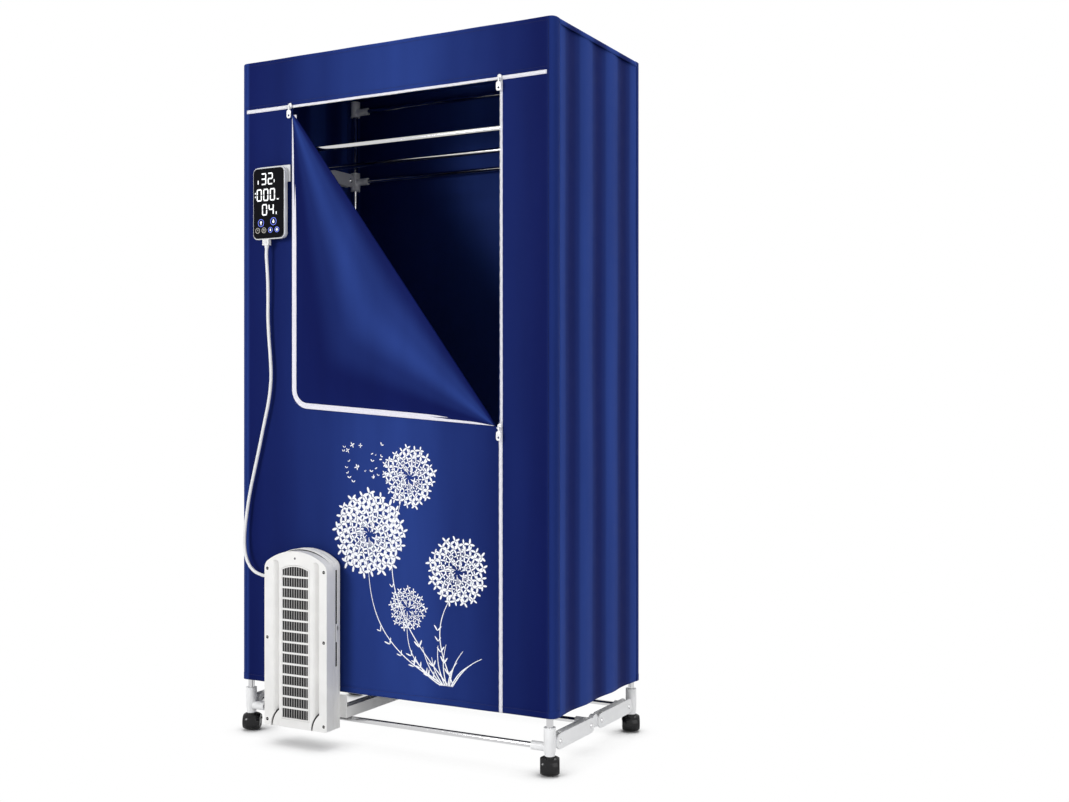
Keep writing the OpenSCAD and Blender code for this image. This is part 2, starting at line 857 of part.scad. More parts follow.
// Back shell: a deeper tray with a higher arch, a spigot that fits in the cover, a recessed
// joint along each side, the warm-air outlet behind and the fan's upper bearing inside
module heater_back() {
    depth = heater_d - cover_d - lip_d;
    joint_w = 3;
    joint_d = 2;
    joint_z = 150;
    joint_top = 44;
    cavity_r = 17;
    outlet_bars = 9;
    outlet_pitch = 17;
    outlet_w = 90;
    outlet_h = 8;
    bearing_w = 40;
    bearing_h = 8;
    bearing_reach = 10;
    inner_inset = lip_inset + shell_t;
    color(white) in_heater() {
        difference() {
            union() {
                slab(cover_d - spigot_d, spigot_d) cover_cavity(slip);
                slab(cover_d, lip_d) translate([0, lip_inset / 2]) tower_outline(
                    heater_w - 2 * lip_inset, heater_h + back_rise - lip_inset, back_r - 2);
                slab(cover_d + lip_d, depth)
                    tower_outline(heater_w - 2 * back_inset, heater_h + back_rise, back_r);
            }
            slab(cover_d - spigot_d - bite, heater_d - cover_d + spigot_d - shell_t + bite)
                translate([0, lip_inset]) tower_outline(
                    heater_w - 2 * inner_inset, heater_h + back_rise - 2 * lip_inset, cavity_r);
            both_sides()
                translate([heater_w / 2 - back_inset - joint_d, cover_d + lip_d + depth / 2, joint_z])
                    cube([joint_d + bite, joint_w, heater_h - joint_z - joint_top]);
            for (i = [0 : outlet_bars - 1])
                translate([-outlet_w / 2, heater_d - shell_t - bite,
                           duct_rise + (i - (outlet_bars - 1) / 2) * outlet_pitch - outlet_h / 2])
                    cube([outlet_w, shell_t + 2 * bite, outlet_h]);
            translate([inlet_x, inlet_y, -bite]) cylinder(r = inlet_r + slip, h = lip_inset + 2 * bite);
        }
        difference() {
            translate([-bearing_w / 2, fan_y - bearing_reach, fan_z0 + fan_l + fan_gap])
                cube([bearing_w, heater_d - shell_t - fan_y + bearing_reach, bearing_h]);
            translate([0, fan_y, fan_z0 + fan_l]) cylinder(r = shaft_r + run, h = 2 * shaft_l);
        }
    }
}

inlet_x = 55;
inlet_y = 44;
inlet_r = 7;
inlet_bore = 3.6;
inlet_l = 14;
inlet_flange = 4;

// Bush in the underside that the mains lead passes through
module mains_inlet() {
    color(black) in_heater() translate([inlet_x, inlet_y, -inlet_flange]) rotate_extrude() {
        translate([inlet_bore, 0]) square([inlet_r + 2 - inlet_bore, inlet_flange]);
        translate([inlet_bore, 0]) square([inlet_r - inlet_bore, inlet_l]);
    }
}

// Cross-flow fan on its shaft: end discs, a middle disc and a ring of blades
module heater_fan() {
    disc_t = 2;
    blade_t = 1.2;
    blade_w = 6;
    blade_in = 0.5;
    color("dimgray") in_heater() translate([0, fan_y, fan_z0]) {
        for (z = [0, (fan_l - disc_t) / 2, fan_l - disc_t])
            translate([0, 0, z]) cylinder(r = fan_r, h = disc_t);
        translate([0, 0, -shaft_l]) cylinder(r = shaft_r, h = fan_l + 2 * shaft_l);
        for (i = [0 : fan_blades - 1]) rotate(360 * i / fan_blades)
            translate([fan_r - blade_w - blade_in, -blade_t / 2, 0]) cube([blade_w, blade_t, fan_l]);
    }
}

// Motor under the fan on its foot, with the bore its shaft turns in
module fan_motor() {
    motor_r = 16;
    boss_r = 8;
    boss_h = 4;
    foot_w = 24;
    motor_foot_h = 20;
    motor_h = fan_z0 - fan_gap - lip_inset;
    color("gray") in_heater() difference() {
        union() {
            translate([0, fan_y, lip_inset]) cylinder(r = motor_r, h = motor_h - boss_h);
            translate([0, fan_y, lip_inset]) cylinder(r = boss_r, h = motor_h);
            translate([-foot_w / 2, fan_y, lip_inset])
                cube([foot_w, heater_d - shell_t - fan_y, motor_foot_h]);
        }
        translate([0, fan_y, fan_z0 - shaft_l - slip]) cylinder(r = shaft_r + run, h = 2 * shaft_l);
    }
}

// Heating block with its fins, in front of the outlet
module heating_element() {
    fins = 12;
    block_w = 70;
    block_h = 190;
    block_d = 10;
    rim = 6;
    fin_pitch = (block_w - 2 * rim) / fins;
    fin_t = 2;
    color("gray") in_heater()
        translate([-block_w / 2, heater_d - shell_t - block_d, duct_rise - block_h / 2]) difference() {
            cube([block_w, block_d, block_h]);
            for (i = [0 : fins - 1])
                translate([rim + i * fin_pitch + fin_t / 2, -bite, rim])
                    cube([fin_pitch - fin_t, block_d + 2 * bite, block_h - 2 * rim]);
        }
}

bar_x = heater_x + heater_w / 2;
bar_z = rail_z + rail_r + seat_gap;

// Inverted channel that rests on the front rail, ridged on top, with the plate that the
// heater stands against
module heater_bar() {
    bar_y0 = front_y - heater_gap;
    bar_l = front_post_y + bar_reach - bar_y0;
    wall = 2.5;
    ridge_w = 4;
    ridge_h = 1.2;
    ridge_end = 4;
    plate_w = 80;
    plate_gap = 5;
    plate_top = hem_z - plate_gap;
    color(white) {
        difference() {
            translate([bar_x - bar_w / 2, bar_y0, bar_z]) cube([bar_w, bar_l, bar_h]);
            translate([bar_x - bar_w / 2 + wall, bar_y0 + wall, bar_z - bite])
                cube([bar_w - 2 * wall, bar_l - 2 * wall, bar_h - wall + bite]);
        }
        translate([bar_x - ridge_w / 2, bar_y0 + ridge_end, bar_z + bar_h - wall])
            cube([ridge_w, bar_l - 2 * ridge_end, wall + ridge_h]);
        translate([bar_x + bar_w / 2 - plate_w, bar_y0, bar_z])
            cube([plate_w, wall, plate_top - bar_z]);
    }
}

// Peg on the heater's back that the cloth's lower edge hooks over
module heater_hook() {
    hook_r = 7;
    hook_flange = 3;
    peg_r = 4;
    hook_rise = 12;
    color(white) in_heater()
        translate([heater_w / 2 - back_inset - hook_r - 1, heater_d, hem_z - heater_z + hook_rise])
            rotate([-90, 0, 0]) {
                cylinder(r = hook_r, h = hook_flange);
                cylinder(r = peg_r, h = heater_gap - seat_gap - zip_t);
            }
}

module heater_screws() {
    slot_t = 1;
    slot_depth = 0.8;
    color(black) in_heater() at_screws() difference() {
        cylinder(r = screw_r, h = screw_head);
        translate([-slot_t / 2, -screw_r, -bite]) cube([slot_t, 2 * screw_r, bite + slot_depth]);
    }
}

// ---------------------------------------------------------------- controller and cord

case_back = heater_gap;
case_r = 14;
face_t = 3;
face_seat = 1;
face_inset = 3;
hanger_t = 3;

module in_controller(near) {
    translate([control_x, front_y - near, control_z + control_h / 2]) rotate([90, 0, 0]) children();
}

module controller_case() {
    depth = control_d - face_t;
    body_inset = 2;
    rim_d = 6;
    color("gainsboro") in_controller(case_back) difference() {
        union() {
            linear_extrude(depth - rim_d + bite)
                round_box(control_w - 2 * body_inset, control_h - 2 * body_inset, case_r - body_inset);
            translate([0, 0, depth - rim_d]) linear_extrude(rim_d) round_box(control_w, control_h, case_r);
        }
        translate([0, 0, depth - face_seat]) linear_extrude(2 * face_seat) face_outline(slip);
    }
}

module face_outline(grow) {
    inset = face_inset - grow;
    round_box(control_w - 2 * inset, control_h - 2 * inset, case_r - inset);
}

module controller_face() {
    color(black) in_controller(case_back + control_d - face_t - face_seat)
        linear_extrude(face_t + face_seat) face_outline(0);
}

// Bracket behind the case: a wide plate that shows above and beside it, and a narrower one with
// a hook that drops behind the slot in the cloth
module controller_hanger() {
    tab_w = 96;
    tab_h = 42;
    tab_right = 7;
    tab_above = 4;
    plate_w = 44;
    plate_drop = 50;
    plate_h = 90;
    hook_w = 30;
    hook_drop = 30;
    hook_z = slot_z - 8;
    hook_in = cloth_t + ripple + 4;
    color("lightgray") {
        translate([control_x + tab_right - tab_w / 2, front_y - case_back,
                   control_z + control_h + tab_above - tab_h]) cube([tab_w, hanger_t, tab_h]);
        translate([control_x - plate_w / 2, front_y - case_back, slot_z - plate_drop])
            cube([plate_w, hanger_t, plate_h]);
        translate([control_x - hook_w / 2, front_y - case_back, hook_z])
            cube([hook_w, case_back + hook_in, hanger_t]);
        translate([control_x - hook_w / 2, front_y + hook_in, hook_z - hook_drop])
            cube([hook_w, hanger_t, hook_drop + hanger_t]);
    }
}

plug_r = 6;
plug_w = 20;
plug_l = 22;
plug_sleeve = 14;
plug_out = 9;
plug_left = 11;
plug_x = control_x - plug_left;
plug_y = case_back + plug_out;
cord_lip = 0.6;
gland_l = 14;
gland_flange = 3;
gland_y = 38;
gland_z = 357;

// Lead's connector under the controller: a flat grip with three grooves, and its collar
module cord_plug() {
    groove_pitch = 5;
    groove_t = 1.2;
    groove_in = 0.8;
    groove_end = 2;
    color(white) translate([plug_x, front_y - plug_y, control_z]) mirror([0, 0, 1]) {
        difference() {
            linear_extrude(plug_sleeve) round_box(plug_w, 2 * plug_r, plug_r / 3);
            for (i = [-1 : 1]) translate([i * groove_pitch - groove_t / 2, -plug_r - bite, groove_end])
                cube([groove_t, bite + groove_in, plug_sleeve - 2 * groove_end]);
        }
        translate([0, 0, plug_sleeve])
            cylinder(r1 = plug_r, r2 = cord_d / 2 + cord_lip, h = plug_l - plug_sleeve);
    }
}

// Strain relief where the lead goes into the heater's side
module cord_gland() {
    color(white) in_heater() translate([back_inset - heater_w / 2, gland_y, gland_z])
        rotate([0, -90, 0]) {
            cylinder(r = cord_d / 2 + 3, h = gland_flange);
            cylinder(r1 = cord_d / 2 + 2, r2 = cord_d / 2 + cord_lip, h = gland_l);
        }
}

// Route of the lead, as distance from the cabinet's middle, from the front plane and above
// the floor. It leaves the plug straight down and enters the gland from the side.
cord_start = [plug_x, -plug_y, control_z - plug_l];
cord_end = [heater_x - heater_w / 2 + back_inset - gland_l, gland_y - heater_gap - heater_d,
            heater_z + gland_z];
cord_route = [
    [-353, -18, 1205], [-353, -16, 1180], [-352, -14, 1142], [-353, -12, 1098], [-354, -11, 1052],
    [-352, -10, 1004], [-348, -10, 960], [-345, -10, 912], [-347, -10, 875], [-354, -10, 834],
    [-368, -10, 780], [-384, -10, 718], [-400, -11, 656], [-412, -12, 606], [-420, -14, 556],
    [-425, -16, 508], [-422, -19, 466], [-409, -23, 436], [-388, -26, 416], [-360, -29, 407]
];
cord_sides = 8;
cord_span = 2;
cord_run_in = 14;
cord_points = concat([cord_start], cord_route, [cord_end - [cord_run_in, 0, 0], cord_end]);

function spline(a, b, c, d, t) =
    (2 * b + (c - a) * t + (2 * a - 5 * b + 4 * c - d) * t * t
     + (3 * b - a - 3 * c + d) * t * t * t) / 2;
function cord_at(i, t) = let (n = len(cord_points) - 1) spline(
    cord_points[max(i - 1, 0)], cord_points[i],
    cord_points[min(i + 1, n)], cord_points[min(i + 2, n)], t);
cord_line = concat(
    [for (i = [0 : len(cord_points) - 2], k = [0 : cord_span - 1]) cord_at(i, k / cord_span)],
    [cord_end]);
function along(i) = i == 0 ? [0, 0, -1] : i == len(cord_line) - 1 ? [1, 0, 0]
    : let (d = cord_line[i + 1] - cord_line[i - 1]) d / norm(d);
function ring(i) =
    let (t = along(i), side = cross(t, [0, 1, 0]), u = side / norm(side), v = cross(u, t))
    [for (k = [0 : cord_sides - 1]) let (a = 360 * (k + 0.5) / cord_sides)
        cord_line[i] + cord_d / 2 * (u * cos(a) + v * sin(a))];

module control_cord() {
    rings = len(cord_line);
    color(white) translate([0, front_y, 0]) polyhedron(
        points = [for (i = [0 : rings - 1]) each ring(i)],
        faces = concat(
            [[for (k = [0 : cord_sides - 1]) k]],
            [for (i = [0 : rings - 2], k = [0 : cord_sides - 1])
                let (a = i * cord_sides + k, b = i * cord_sides + (k + 1) % cord_sides)
                each [[a, a + cord_sides, b], [b, a + cord_sides, b + cord_sides]]],
            [[for (k = [cord_sides - 1 : -1 : 0]) (rings - 1) * cord_sides + k]]));
}

// ---------------------------------------------------------------- the parts

at_rear_posts() post();  // rear_posts
at_rear_posts() foot();  // rear_feet
at_rear_posts() brackets();  // rear_brackets
rails(rear_post_y);  // rear_rails
at_rear_posts() post_pins();  // rear_pivot_pins
back_panel();
at_front_posts() post();  // front_posts
at_front_posts() foot();  // front_feet
at_front_posts() brackets();  // front_brackets
rails(front_post_y);  // front_rails
at_front_posts() post_pins();  // front_pivot_pins
front_panel();
door_flap();
flap_tape();
zip_tapes();
window_piping();
mirror([1, 0, 0]) side_panel();  // side_panel_left
side_panel();  // side_panel_right
roof_panel();
rear_arms(pivot_z);  // lower_rear_arms
mid_blocks(pivot_z);  // lower_mid_blocks
mid_bar(pivot_z);  // mid_crossbar
mid_pins(pivot_z);  // lower_mid_pins
front_arms(pivot_z);  // lower_front_arms
rear_arms(upper_z);  // upper_rear_arms
mid_blocks(upper_z);  // upper_mid_blocks
mid_bar(upper_z);  // hanging_rail
mid_pins(upper_z);  // upper_mid_pins
front_arms(upper_z);  // upper_front_arms
caster_place(-1, front_post_y) caster_fork();  // caster_fork_front_left
caster_place(1, front_post_y) caster_fork();  // caster_fork_front_right
caster_place(-1, rear_post_y) caster_fork();  // caster_fork_rear_left
caster_place(1, rear_post_y) caster_fork();  // caster_fork_rear_right
caster_place(-1, front_post_y) caster_wheels();  // caster_wheels_front_left
caster_place(1, front_post_y) caster_wheels();  // caster_wheels_front_right
caster_place(-1, rear_post_y) caster_wheels();  // caster_wheels_rear_left
caster_place(1, rear_post_y) caster_wheels();  // caster_wheels_rear_right
at_slider(slider_left_x, zip_z) zip_slider();  // zip_slider_left
at_slider(door_x1, zip_z) zip_slider();  // zip_slider_right
at_slider(door_x1, slider_z) zip_slider();  // zip_slider_door
at_slider(slider_left_x, zip_z) zip_pull();  // zip_pull_left
at_slider(door_x1, zip_z) zip_pull();  // zip_pull_right
at_slider(door_x1, slider_z) zip_pull();  // zip_pull_door
heater_cover();
heater_grille();
heater_back();
heater_fan();
fan_motor();
heating_element();
heater_bar();
heater_hook();
heater_screws();
mains_inlet();
controller_case();
controller_face();
controller_hanger();
control_cord();
cord_plug();
cord_gland();
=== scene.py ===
"""The looks of a folding drying cabinet: cloth cover, zips, print, heater, controller and frame."""

import json
import math
import random

import bmesh
import bpy
from bpy.props import FloatProperty, FloatVectorProperty, IntProperty, PointerProperty
from bpy.types import Operator, Panel, PropertyGroup
from mathutils import Matrix, Vector

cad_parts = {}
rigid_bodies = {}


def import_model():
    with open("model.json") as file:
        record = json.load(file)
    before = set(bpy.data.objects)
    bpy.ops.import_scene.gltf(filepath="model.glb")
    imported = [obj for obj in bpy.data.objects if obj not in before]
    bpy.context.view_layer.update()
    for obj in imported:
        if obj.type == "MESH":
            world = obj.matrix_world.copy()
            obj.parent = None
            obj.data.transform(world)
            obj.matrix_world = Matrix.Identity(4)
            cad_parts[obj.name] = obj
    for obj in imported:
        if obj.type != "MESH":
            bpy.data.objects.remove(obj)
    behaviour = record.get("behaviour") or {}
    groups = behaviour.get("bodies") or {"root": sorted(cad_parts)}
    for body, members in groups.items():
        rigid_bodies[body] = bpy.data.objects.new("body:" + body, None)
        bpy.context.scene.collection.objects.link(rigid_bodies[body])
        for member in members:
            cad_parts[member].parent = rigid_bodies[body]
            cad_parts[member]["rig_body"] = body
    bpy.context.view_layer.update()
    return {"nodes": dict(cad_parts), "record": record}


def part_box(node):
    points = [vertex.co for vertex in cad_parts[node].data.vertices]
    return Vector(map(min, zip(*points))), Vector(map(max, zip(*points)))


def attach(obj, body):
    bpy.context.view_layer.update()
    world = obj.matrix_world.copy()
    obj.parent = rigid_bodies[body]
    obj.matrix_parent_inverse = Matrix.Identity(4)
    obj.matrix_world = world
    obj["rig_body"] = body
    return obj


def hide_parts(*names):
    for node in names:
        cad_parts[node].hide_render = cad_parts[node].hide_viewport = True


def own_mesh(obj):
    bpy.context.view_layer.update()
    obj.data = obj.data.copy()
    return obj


bl_info = {
    "name": "Drying cabinet",
    "version": (1, 0, 0),
    "blender": (4, 5, 0),
    "location": "View3D > Sidebar > Cabinet",
    "description": "Dresses the drying cabinet's frame with its cloth, zips, heater and controller",
    "category": "Add Mesh",
}

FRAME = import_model()
MM = 0.001

# Places on the frame, in metres
CLOTH_LO, CLOTH_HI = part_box("front_panel")
FRONT = CLOTH_LO.y
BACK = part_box("back_panel")[1].y
HALF_W = CLOTH_HI.x
HEM = CLOTH_LO.z
TOP = CLOTH_HI.z
WRAP = CLOTH_HI.y - CLOTH_LO.y
SIDE_LO, SIDE_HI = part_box("side_panel_right")
SLOTS = {part["node"]: part["material_slot"] for part in FRAME["record"]["subparts"]}


def middle(node):
    """Centre of a node's box."""
    lo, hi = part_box(node)
    return (lo + hi) / 2


ZIP_Z = middle("zip_slider_left").z
DOOR_X = middle("zip_slider_door").x
SLIDER_Z = middle("zip_slider_door").z
SLIDERS = {name: middle("zip_slider_" + name) for name in ("left", "right", "door")}
FLAP_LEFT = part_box("door_flap")[0].x
FLAP_TOP = ZIP_Z - 18 * MM
FLAP_RIGHT = DOOR_X - 12 * MM
FLAP_LOW = SLIDER_Z + 2 * MM
HEATER_LO, HEATER_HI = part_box("heater_cover")
HEATER_X = (HEATER_LO.x + HEATER_HI.x) / 2
HEATER_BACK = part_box("heater_back")[1]
CASE_LO, CASE_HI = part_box("controller_case")
FACE_LO, FACE_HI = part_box("controller_face")


# ------------------------------------------------------------------ sizes and colours


def length(name, default):
    """A size in metres."""
    return FloatProperty(name=name, default=default, unit="LENGTH", precision=5)


def number(name, default):
    """A plain number."""
    return FloatProperty(name=name, default=default)


def whole(name, default):
    """A whole number."""
    return IntProperty(name=name, default=default)


def colour(name, default):
    """A linear colour."""
    return FloatVectorProperty(name=name, default=default, subtype="COLOR", size=3, min=0, max=1)


class ClothSettings(PropertyGroup):
    thickness: length("Thickness of the cloth", 0.0012)
    corner_r: length("Radius of the cover's upright corners", 0.016)
    edge_r: length("Radius where the front and back turn on to the roof", 0.004)
    wave: length("Depth of the soft waves in front and back", 0.002)
    waves: whole("Number of waves across the front", 5)
    pleat: length("Depth of the pleats in the sides", 0.005)
    pleats: whole("Number of pleats in each side", 3)
    sag: length("Sag of the roof between its seams", 0.004)
    hem_h: length("Height of the turned-up hem", 0.016)
    stitch: length("Length of one stitch", 0.0032)
    stitch_pitch: length("Distance from stitch to stitch", 0.0052)
    # The two blues between which the cloth's painted shade and painted highlight run: darker in hollows
    # and shaded places, lighter on crests and lit places.
    shade: colour("The blue in the cloth's hollows", (0.0030, 0.0062, 0.074))
    light: colour("The blue on the cloth's crests", (0.0205, 0.0470, 0.228))


class FlapSettings(PropertyGroup):
    roll_r: length("Radius of the fold along the diagonal", 0.0032)
    bulge: length("How far the flap stands off in its middle", 0.009)
    rest: length("Gap between the flap's free edge and the cloth", 0.0016)
    rise: length("Rise of the lower edge towards its left corner", 0.041)
    corner_r: length("Radius of the free corner", 0.050)
    tape_w: length("Width of the white tape on the free edges", 0.014)


class ZipSettings(PropertyGroup):
    closed_w: length("Width of a closed zip", 0.009)
    half_w: length("Width of half an open zip", 0.005)
    tape_t: length("Thickness of the woven tape", 0.0007)
    tooth_pitch: length("Distance from tooth to tooth", 0.0026)
    tooth_w: length("Width of the row of teeth", 0.0034)
    tape: colour("Colour of the woven tape", (0.80, 0.79, 0.86))
    tooth: colour("Colour of the teeth", (0.88, 0.88, 0.90))
    metal: colour("Colour of the sliders and pulls", (0.86, 0.86, 0.87))


class PrintSettings(PropertyGroup):
    ink: colour("Colour of the printed plants", (0.97, 0.97, 0.99))
    line: length("Width of a printed stem", 0.0034)
    lift: length("Distance of the print from the cloth", 0.00035)


class SliderSettings(PropertyGroup):
    plate_t: length("Thickness of a slider's plate", 0.003)
    top_r: length("Radius of the plate's wide end", 0.0053)
    tail_r: length("Radius of the plate's narrow end", 0.0039)
    ear_x: length("Distance of each ear from the middle", 0.00275)
    tab_w: length("Width of a pull", 0.0126)
    tab_h: length("Height of a pull's tab", 0.0215)
    tab_r: length("Radius of the tab's corners", 0.0052)
    tab_t: length("Thickness of the tab", 0.002)
    hole_r: length("Radius of the tab's hole", 0.0026)
    pin_r: length("Radius of the pin that the pull hangs on", 0.001)
    pin_w: length("Length of the pin", 0.007)


class HeaterSettings(PropertyGroup):
    edge_r: length("Rounding of the moulded edges", 0.0022)
    groove_x: length("Distance of each groove from the middle", 0.061)
    groove_w: length("Width of the grooves", 0.023)
    groove_h: length("Height of the grooves' round tops", 0.405)
    groove_d: length("Depth of the grooves", 0.012)
    shoulder_r: length("Radius of the shoulders", 0.024)
    foot_r: length("Radius of the lower corners", 0.005)
    lug_r: length("Radius of the lug at the foot of each groove", 0.049)
    lug_foot: length("Height of the lugs' feet", 0.0005)
    gap_in: length("How far the gap reaches under its lug", 0.0004)
    gap_w: length("How far the gap reaches to the left of its lug", 0.0046)
    frame_w: length("Width of the grille's frame", 0.0036)
    bar_h: length("Height of the grille's bars", 0.0049)
    fin_w: length("Width of the grille's fins", 0.0021)
    fin_d: length("Depth of the grille's fins", 0.0016)
    shell_w: length("Width of the back shell's outline", 0.178)
    shell_h: length("Height of the back shell's outline", 0.432)
    shell_r: length("Radius of the back shell's shoulders", 0.022)
    screw_r: length("Radius of the screws' recesses", 0.003)
    head_r: length("Radius of the screws' heads", 0.0039)
    lamp_r: length("Radius of the lamp", 0.0034)
    rows: whole("Rows of slots in the grille", 14)
    columns: whole("Slots in a row of the grille", 11)
    plastic: colour("Warm white moulded plastic", (0.87, 0.865, 0.85))
    # Also the colour of the painted shade: the plate behind the grille, the fill in the gaps beside the
    # lugs and the strips in the shell's joints.
    inside: colour("Dark parts behind the grille", (0.012, 0.012, 0.013))


class ControllerSettings(PropertyGroup):
    edge_r: length("Rounding of the case and face", 0.0022)
    figure_w: length("Width of a lit figure", 0.0165)
    figure_gap: length("Gap between figures", 0.0045)
    bar_w: length("Width of a figure's bars", 0.0034)
    case: colour("Silver plastic of the case", (0.62, 0.63, 0.65))
    face: colour("Black display window", (0.006, 0.006, 0.008))
    figure: colour("Lit figures", (0.92, 0.93, 0.95))
    key: colour("Blue touch keys", (0.12, 0.17, 0.75))
    mark: colour("Dim symbols", (0.42, 0.40, 0.36))


class FrameSettings(PropertyGroup):
    edge_r: length("Rounding of moulded edges", 0.0007)
    caster_w: length("Width over a pair of wheels", 0.044)
    caster_turn: number("Way the casters point, degrees", 28.0)
    chrome: colour("Plated steel tube", (0.62, 0.62, 0.63))
    plastic: colour("White moulded plastic", (0.93, 0.935, 0.94))
    black: colour("Black nylon", (0.008, 0.008, 0.009))


class CordSettings(PropertyGroup):
    diameter: length("Diameter of the controller's lead", 0.008)
    sheath: colour("White sheath", (0.80, 0.80, 0.80))


class StudioSettings(PropertyGroup):
    lens: number("Focal length on a 36 mm wide sensor, mm", 43.4)
    key: number("Power of the key light, W", 92.0)
    fill: number("Power of the fill light, W", 36.0)
    overhead: number("Power of the overhead light, W", 110.0)
    world: number("Strength of the light from all round", 0.30)
    shade_reach: length("How far the shade at a foot reaches over the floor", 0.08)
    floor: colour("Colour of the floor", (0.86, 0.86, 0.86))


class CabinetSettings(PropertyGroup):
    cloth: PointerProperty(type=ClothSettings)
    flap: PointerProperty(type=FlapSettings)
    zips: PointerProperty(type=ZipSettings)
    slider: PointerProperty(type=SliderSettings)
    motif: PointerProperty(type=PrintSettings)
    heater: PointerProperty(type=HeaterSettings)
    controller: PointerProperty(type=ControllerSettings)
    frame: PointerProperty(type=FrameSettings)
    cord: PointerProperty(type=CordSettings)
    studio: PointerProperty(type=StudioSettings)


def settings():
    """The cabinet's sizes and colours."""
    return bpy.context.scene.cabinet


# ------------------------------------------------------------------ materials


def feed(tree, socket, value):
    """Links a socket to another one, or sets its plain value, with full alpha for a colour."""
    if isinstance(value, bpy.types.NodeSocket):
        tree.links.new(value, socket)
    else:
        socket.default_value = (*value, 1) if socket.type == "RGBA" else value


def new_node(tree, kind, sockets, **values):
    """A new node with its own values set, and a value or a link for each socket named."""
    made = tree.nodes.new(kind)
    for name, value in values.items():
        setattr(made, name, value)
    for name, value in sockets.items():
        feed(tree, made.inputs[name], value)
    return made


class Finish:
    """A material's tree, with the few nodes that these finishes share."""

    def __init__(self, name, base, roughness, metallic=0.0):
        self.material = bpy.data.materials.new(name)
        self.material.use_nodes = True
        self.tree = self.material.node_tree
        self.surface = self.tree.nodes["Principled BSDF"]
        self.set(Base_Color=base, Roughness=roughness, Metallic=metallic)
        self.coordinates = self.node("ShaderNodeTexCoord", {})
        self.place = self.coordinates.outputs["Object"]
        self.normal = None

    def node(self, kind, sockets, **values):
        """A new node of this material."""
        return new_node(self.tree, kind, sockets, **values)

    def set(self, **values):
        """Values or links for the surface's own sockets."""
        for name, value in values.items():
            feed(self.tree, self.surface.inputs[name.replace("_", " ")], value)
        return self

    def noise(self, size, detail=2.0, scale=(1, 1, 1)):
        """Noise whose spots are about size metres across, on object coordinates scaled per axis."""
        mapping = self.node("ShaderNodeMapping", {"Scale": scale, "Vector": self.place})
        sockets = {"Scale": 1 / size, "Detail": detail, "Vector": mapping.outputs["Vector"]}
        return self.node("ShaderNodeTexNoise", sockets).outputs["Fac"]

    def threads(self, pitch, direction):
        """Bands at a pitch in metres along X, Y or Z."""
        sockets = {"Scale": math.pi / (10 * pitch), "Distortion": 0.0, "Vector": self.place}
        return self.node("ShaderNodeTexWave", sockets, bands_direction=direction).outputs["Fac"]

    def ramp(self, source, stops):
        """An eased colour ramp from a value; stops are (place, colour)."""
        made = self.node("ShaderNodeValToRGB", {"Fac": source})
        made.color_ramp.interpolation = "EASE"
        elements = made.color_ramp.elements
        while len(elements) < len(stops):
            elements.new(0.5)
        for element, (at, rgb) in zip(elements, stops):
            element.position = at
            element.color = (*rgb, 1)
        return made.outputs["Color"]

    def span(self, source, low, high, easing="LINEAR"):
        """A value from low to high brought to 0 to 1."""
        sockets = {"Value": source, "From Min": low, "From Max": high}
        return self.node("ShaderNodeMapRange", sockets, interpolation_type=easing).outputs["Result"]

    def part(self, source, axis):
        """One axis of a vector."""
        return self.node("ShaderNodeSeparateXYZ", {"Vector": source}).outputs[axis]

    def maths(self, operation, a, b=0.0):
        """An operation on two sockets or numbers."""
        return self.node("ShaderNodeMath", {0: a, 1: b}, operation=operation).outputs[0]

    def mix(self, factor, a, b, blend="MIX"):
        """Two colours mixed; each is a socket or a colour, and so is the factor a socket or a number."""
        sockets = {"Factor": factor, 6: a, 7: b}
        return self.node("ShaderNodeMix", sockets, data_type="RGBA", blend_type=blend).outputs[2]

    def rough(self, source, low, high):
        """Drives the roughness between two values."""
        made = self.node("ShaderNodeMapRange", {"Value": source, "To Min": low, "To Max": high})
        return self.set(Roughness=made.outputs["Result"])

    def bump(self, source, depth, strength):
        """Raises the surface by a value, depth metres high, on top of earlier bumps."""
        sockets = {"Strength": strength, "Distance": depth, "Height": source}
        if self.normal:
            sockets["Normal"] = self.normal
        self.normal = self.node("ShaderNodeBump", sockets).outputs["Normal"]
        return self.set(Normal=self.normal)


MATERIALS = {}


def finish(name):
    """A finish by name, made once."""
    if name not in MATERIALS:
        MATERIALS[name] = FINISHES[name]().material
    return MATERIALS[name]


def weave(made, pitch, depth, strength):
    """Plain weave raised on a cloth."""
    made.bump(made.threads(pitch, "X"), depth, strength)
    return made.bump(made.threads(pitch, "Z"), depth, strength)


def satin(name, along, painted_shades):
    """Blue satin cloth with painted shade and painted highlight along a value, soft streaks of painted
    sheen, and a fine weave.
    """
    dark, bright = Vector(settings().cloth.shade), Vector(settings().cloth.light)
    made = Finish(name, bright, 0.6).set(Specular_IOR_Level=0.03)
    # Painted shade and painted highlight: the blue darkens and lightens along the value, in place of the
    # satin's sheen and the shading of its waves, pleats and bulge.
    painted_blues = made.ramp(along(made), [(at, dark.lerp(bright, share)) for at, share in painted_shades])
    sheen_streaks = made.noise(0.09, 3.0, (1, 1, 0.16))
    sheen_streaked = made.mix(made.span(sheen_streaks, 0.35, 0.75), (0.86, 0.86, 0.88), (1.08, 1.08, 1.06))
    made.set(Base_Color=made.mix(1.0, painted_blues, sheen_streaked, "MULTIPLY"))
    made.rough(made.noise(0.03), 0.52, 0.64)
    made.bump(made.noise(0.05, 3.0, (1, 1, 0.3)), 0.0012, 0.5)
    return weave(made, 0.00062, 0.00003, 0.35)


def across_width(made):
    """0 at the left side of the cabinet and 1 at the right."""
    return made.span(made.part(made.place, "X"), -HALF_W, HALF_W)


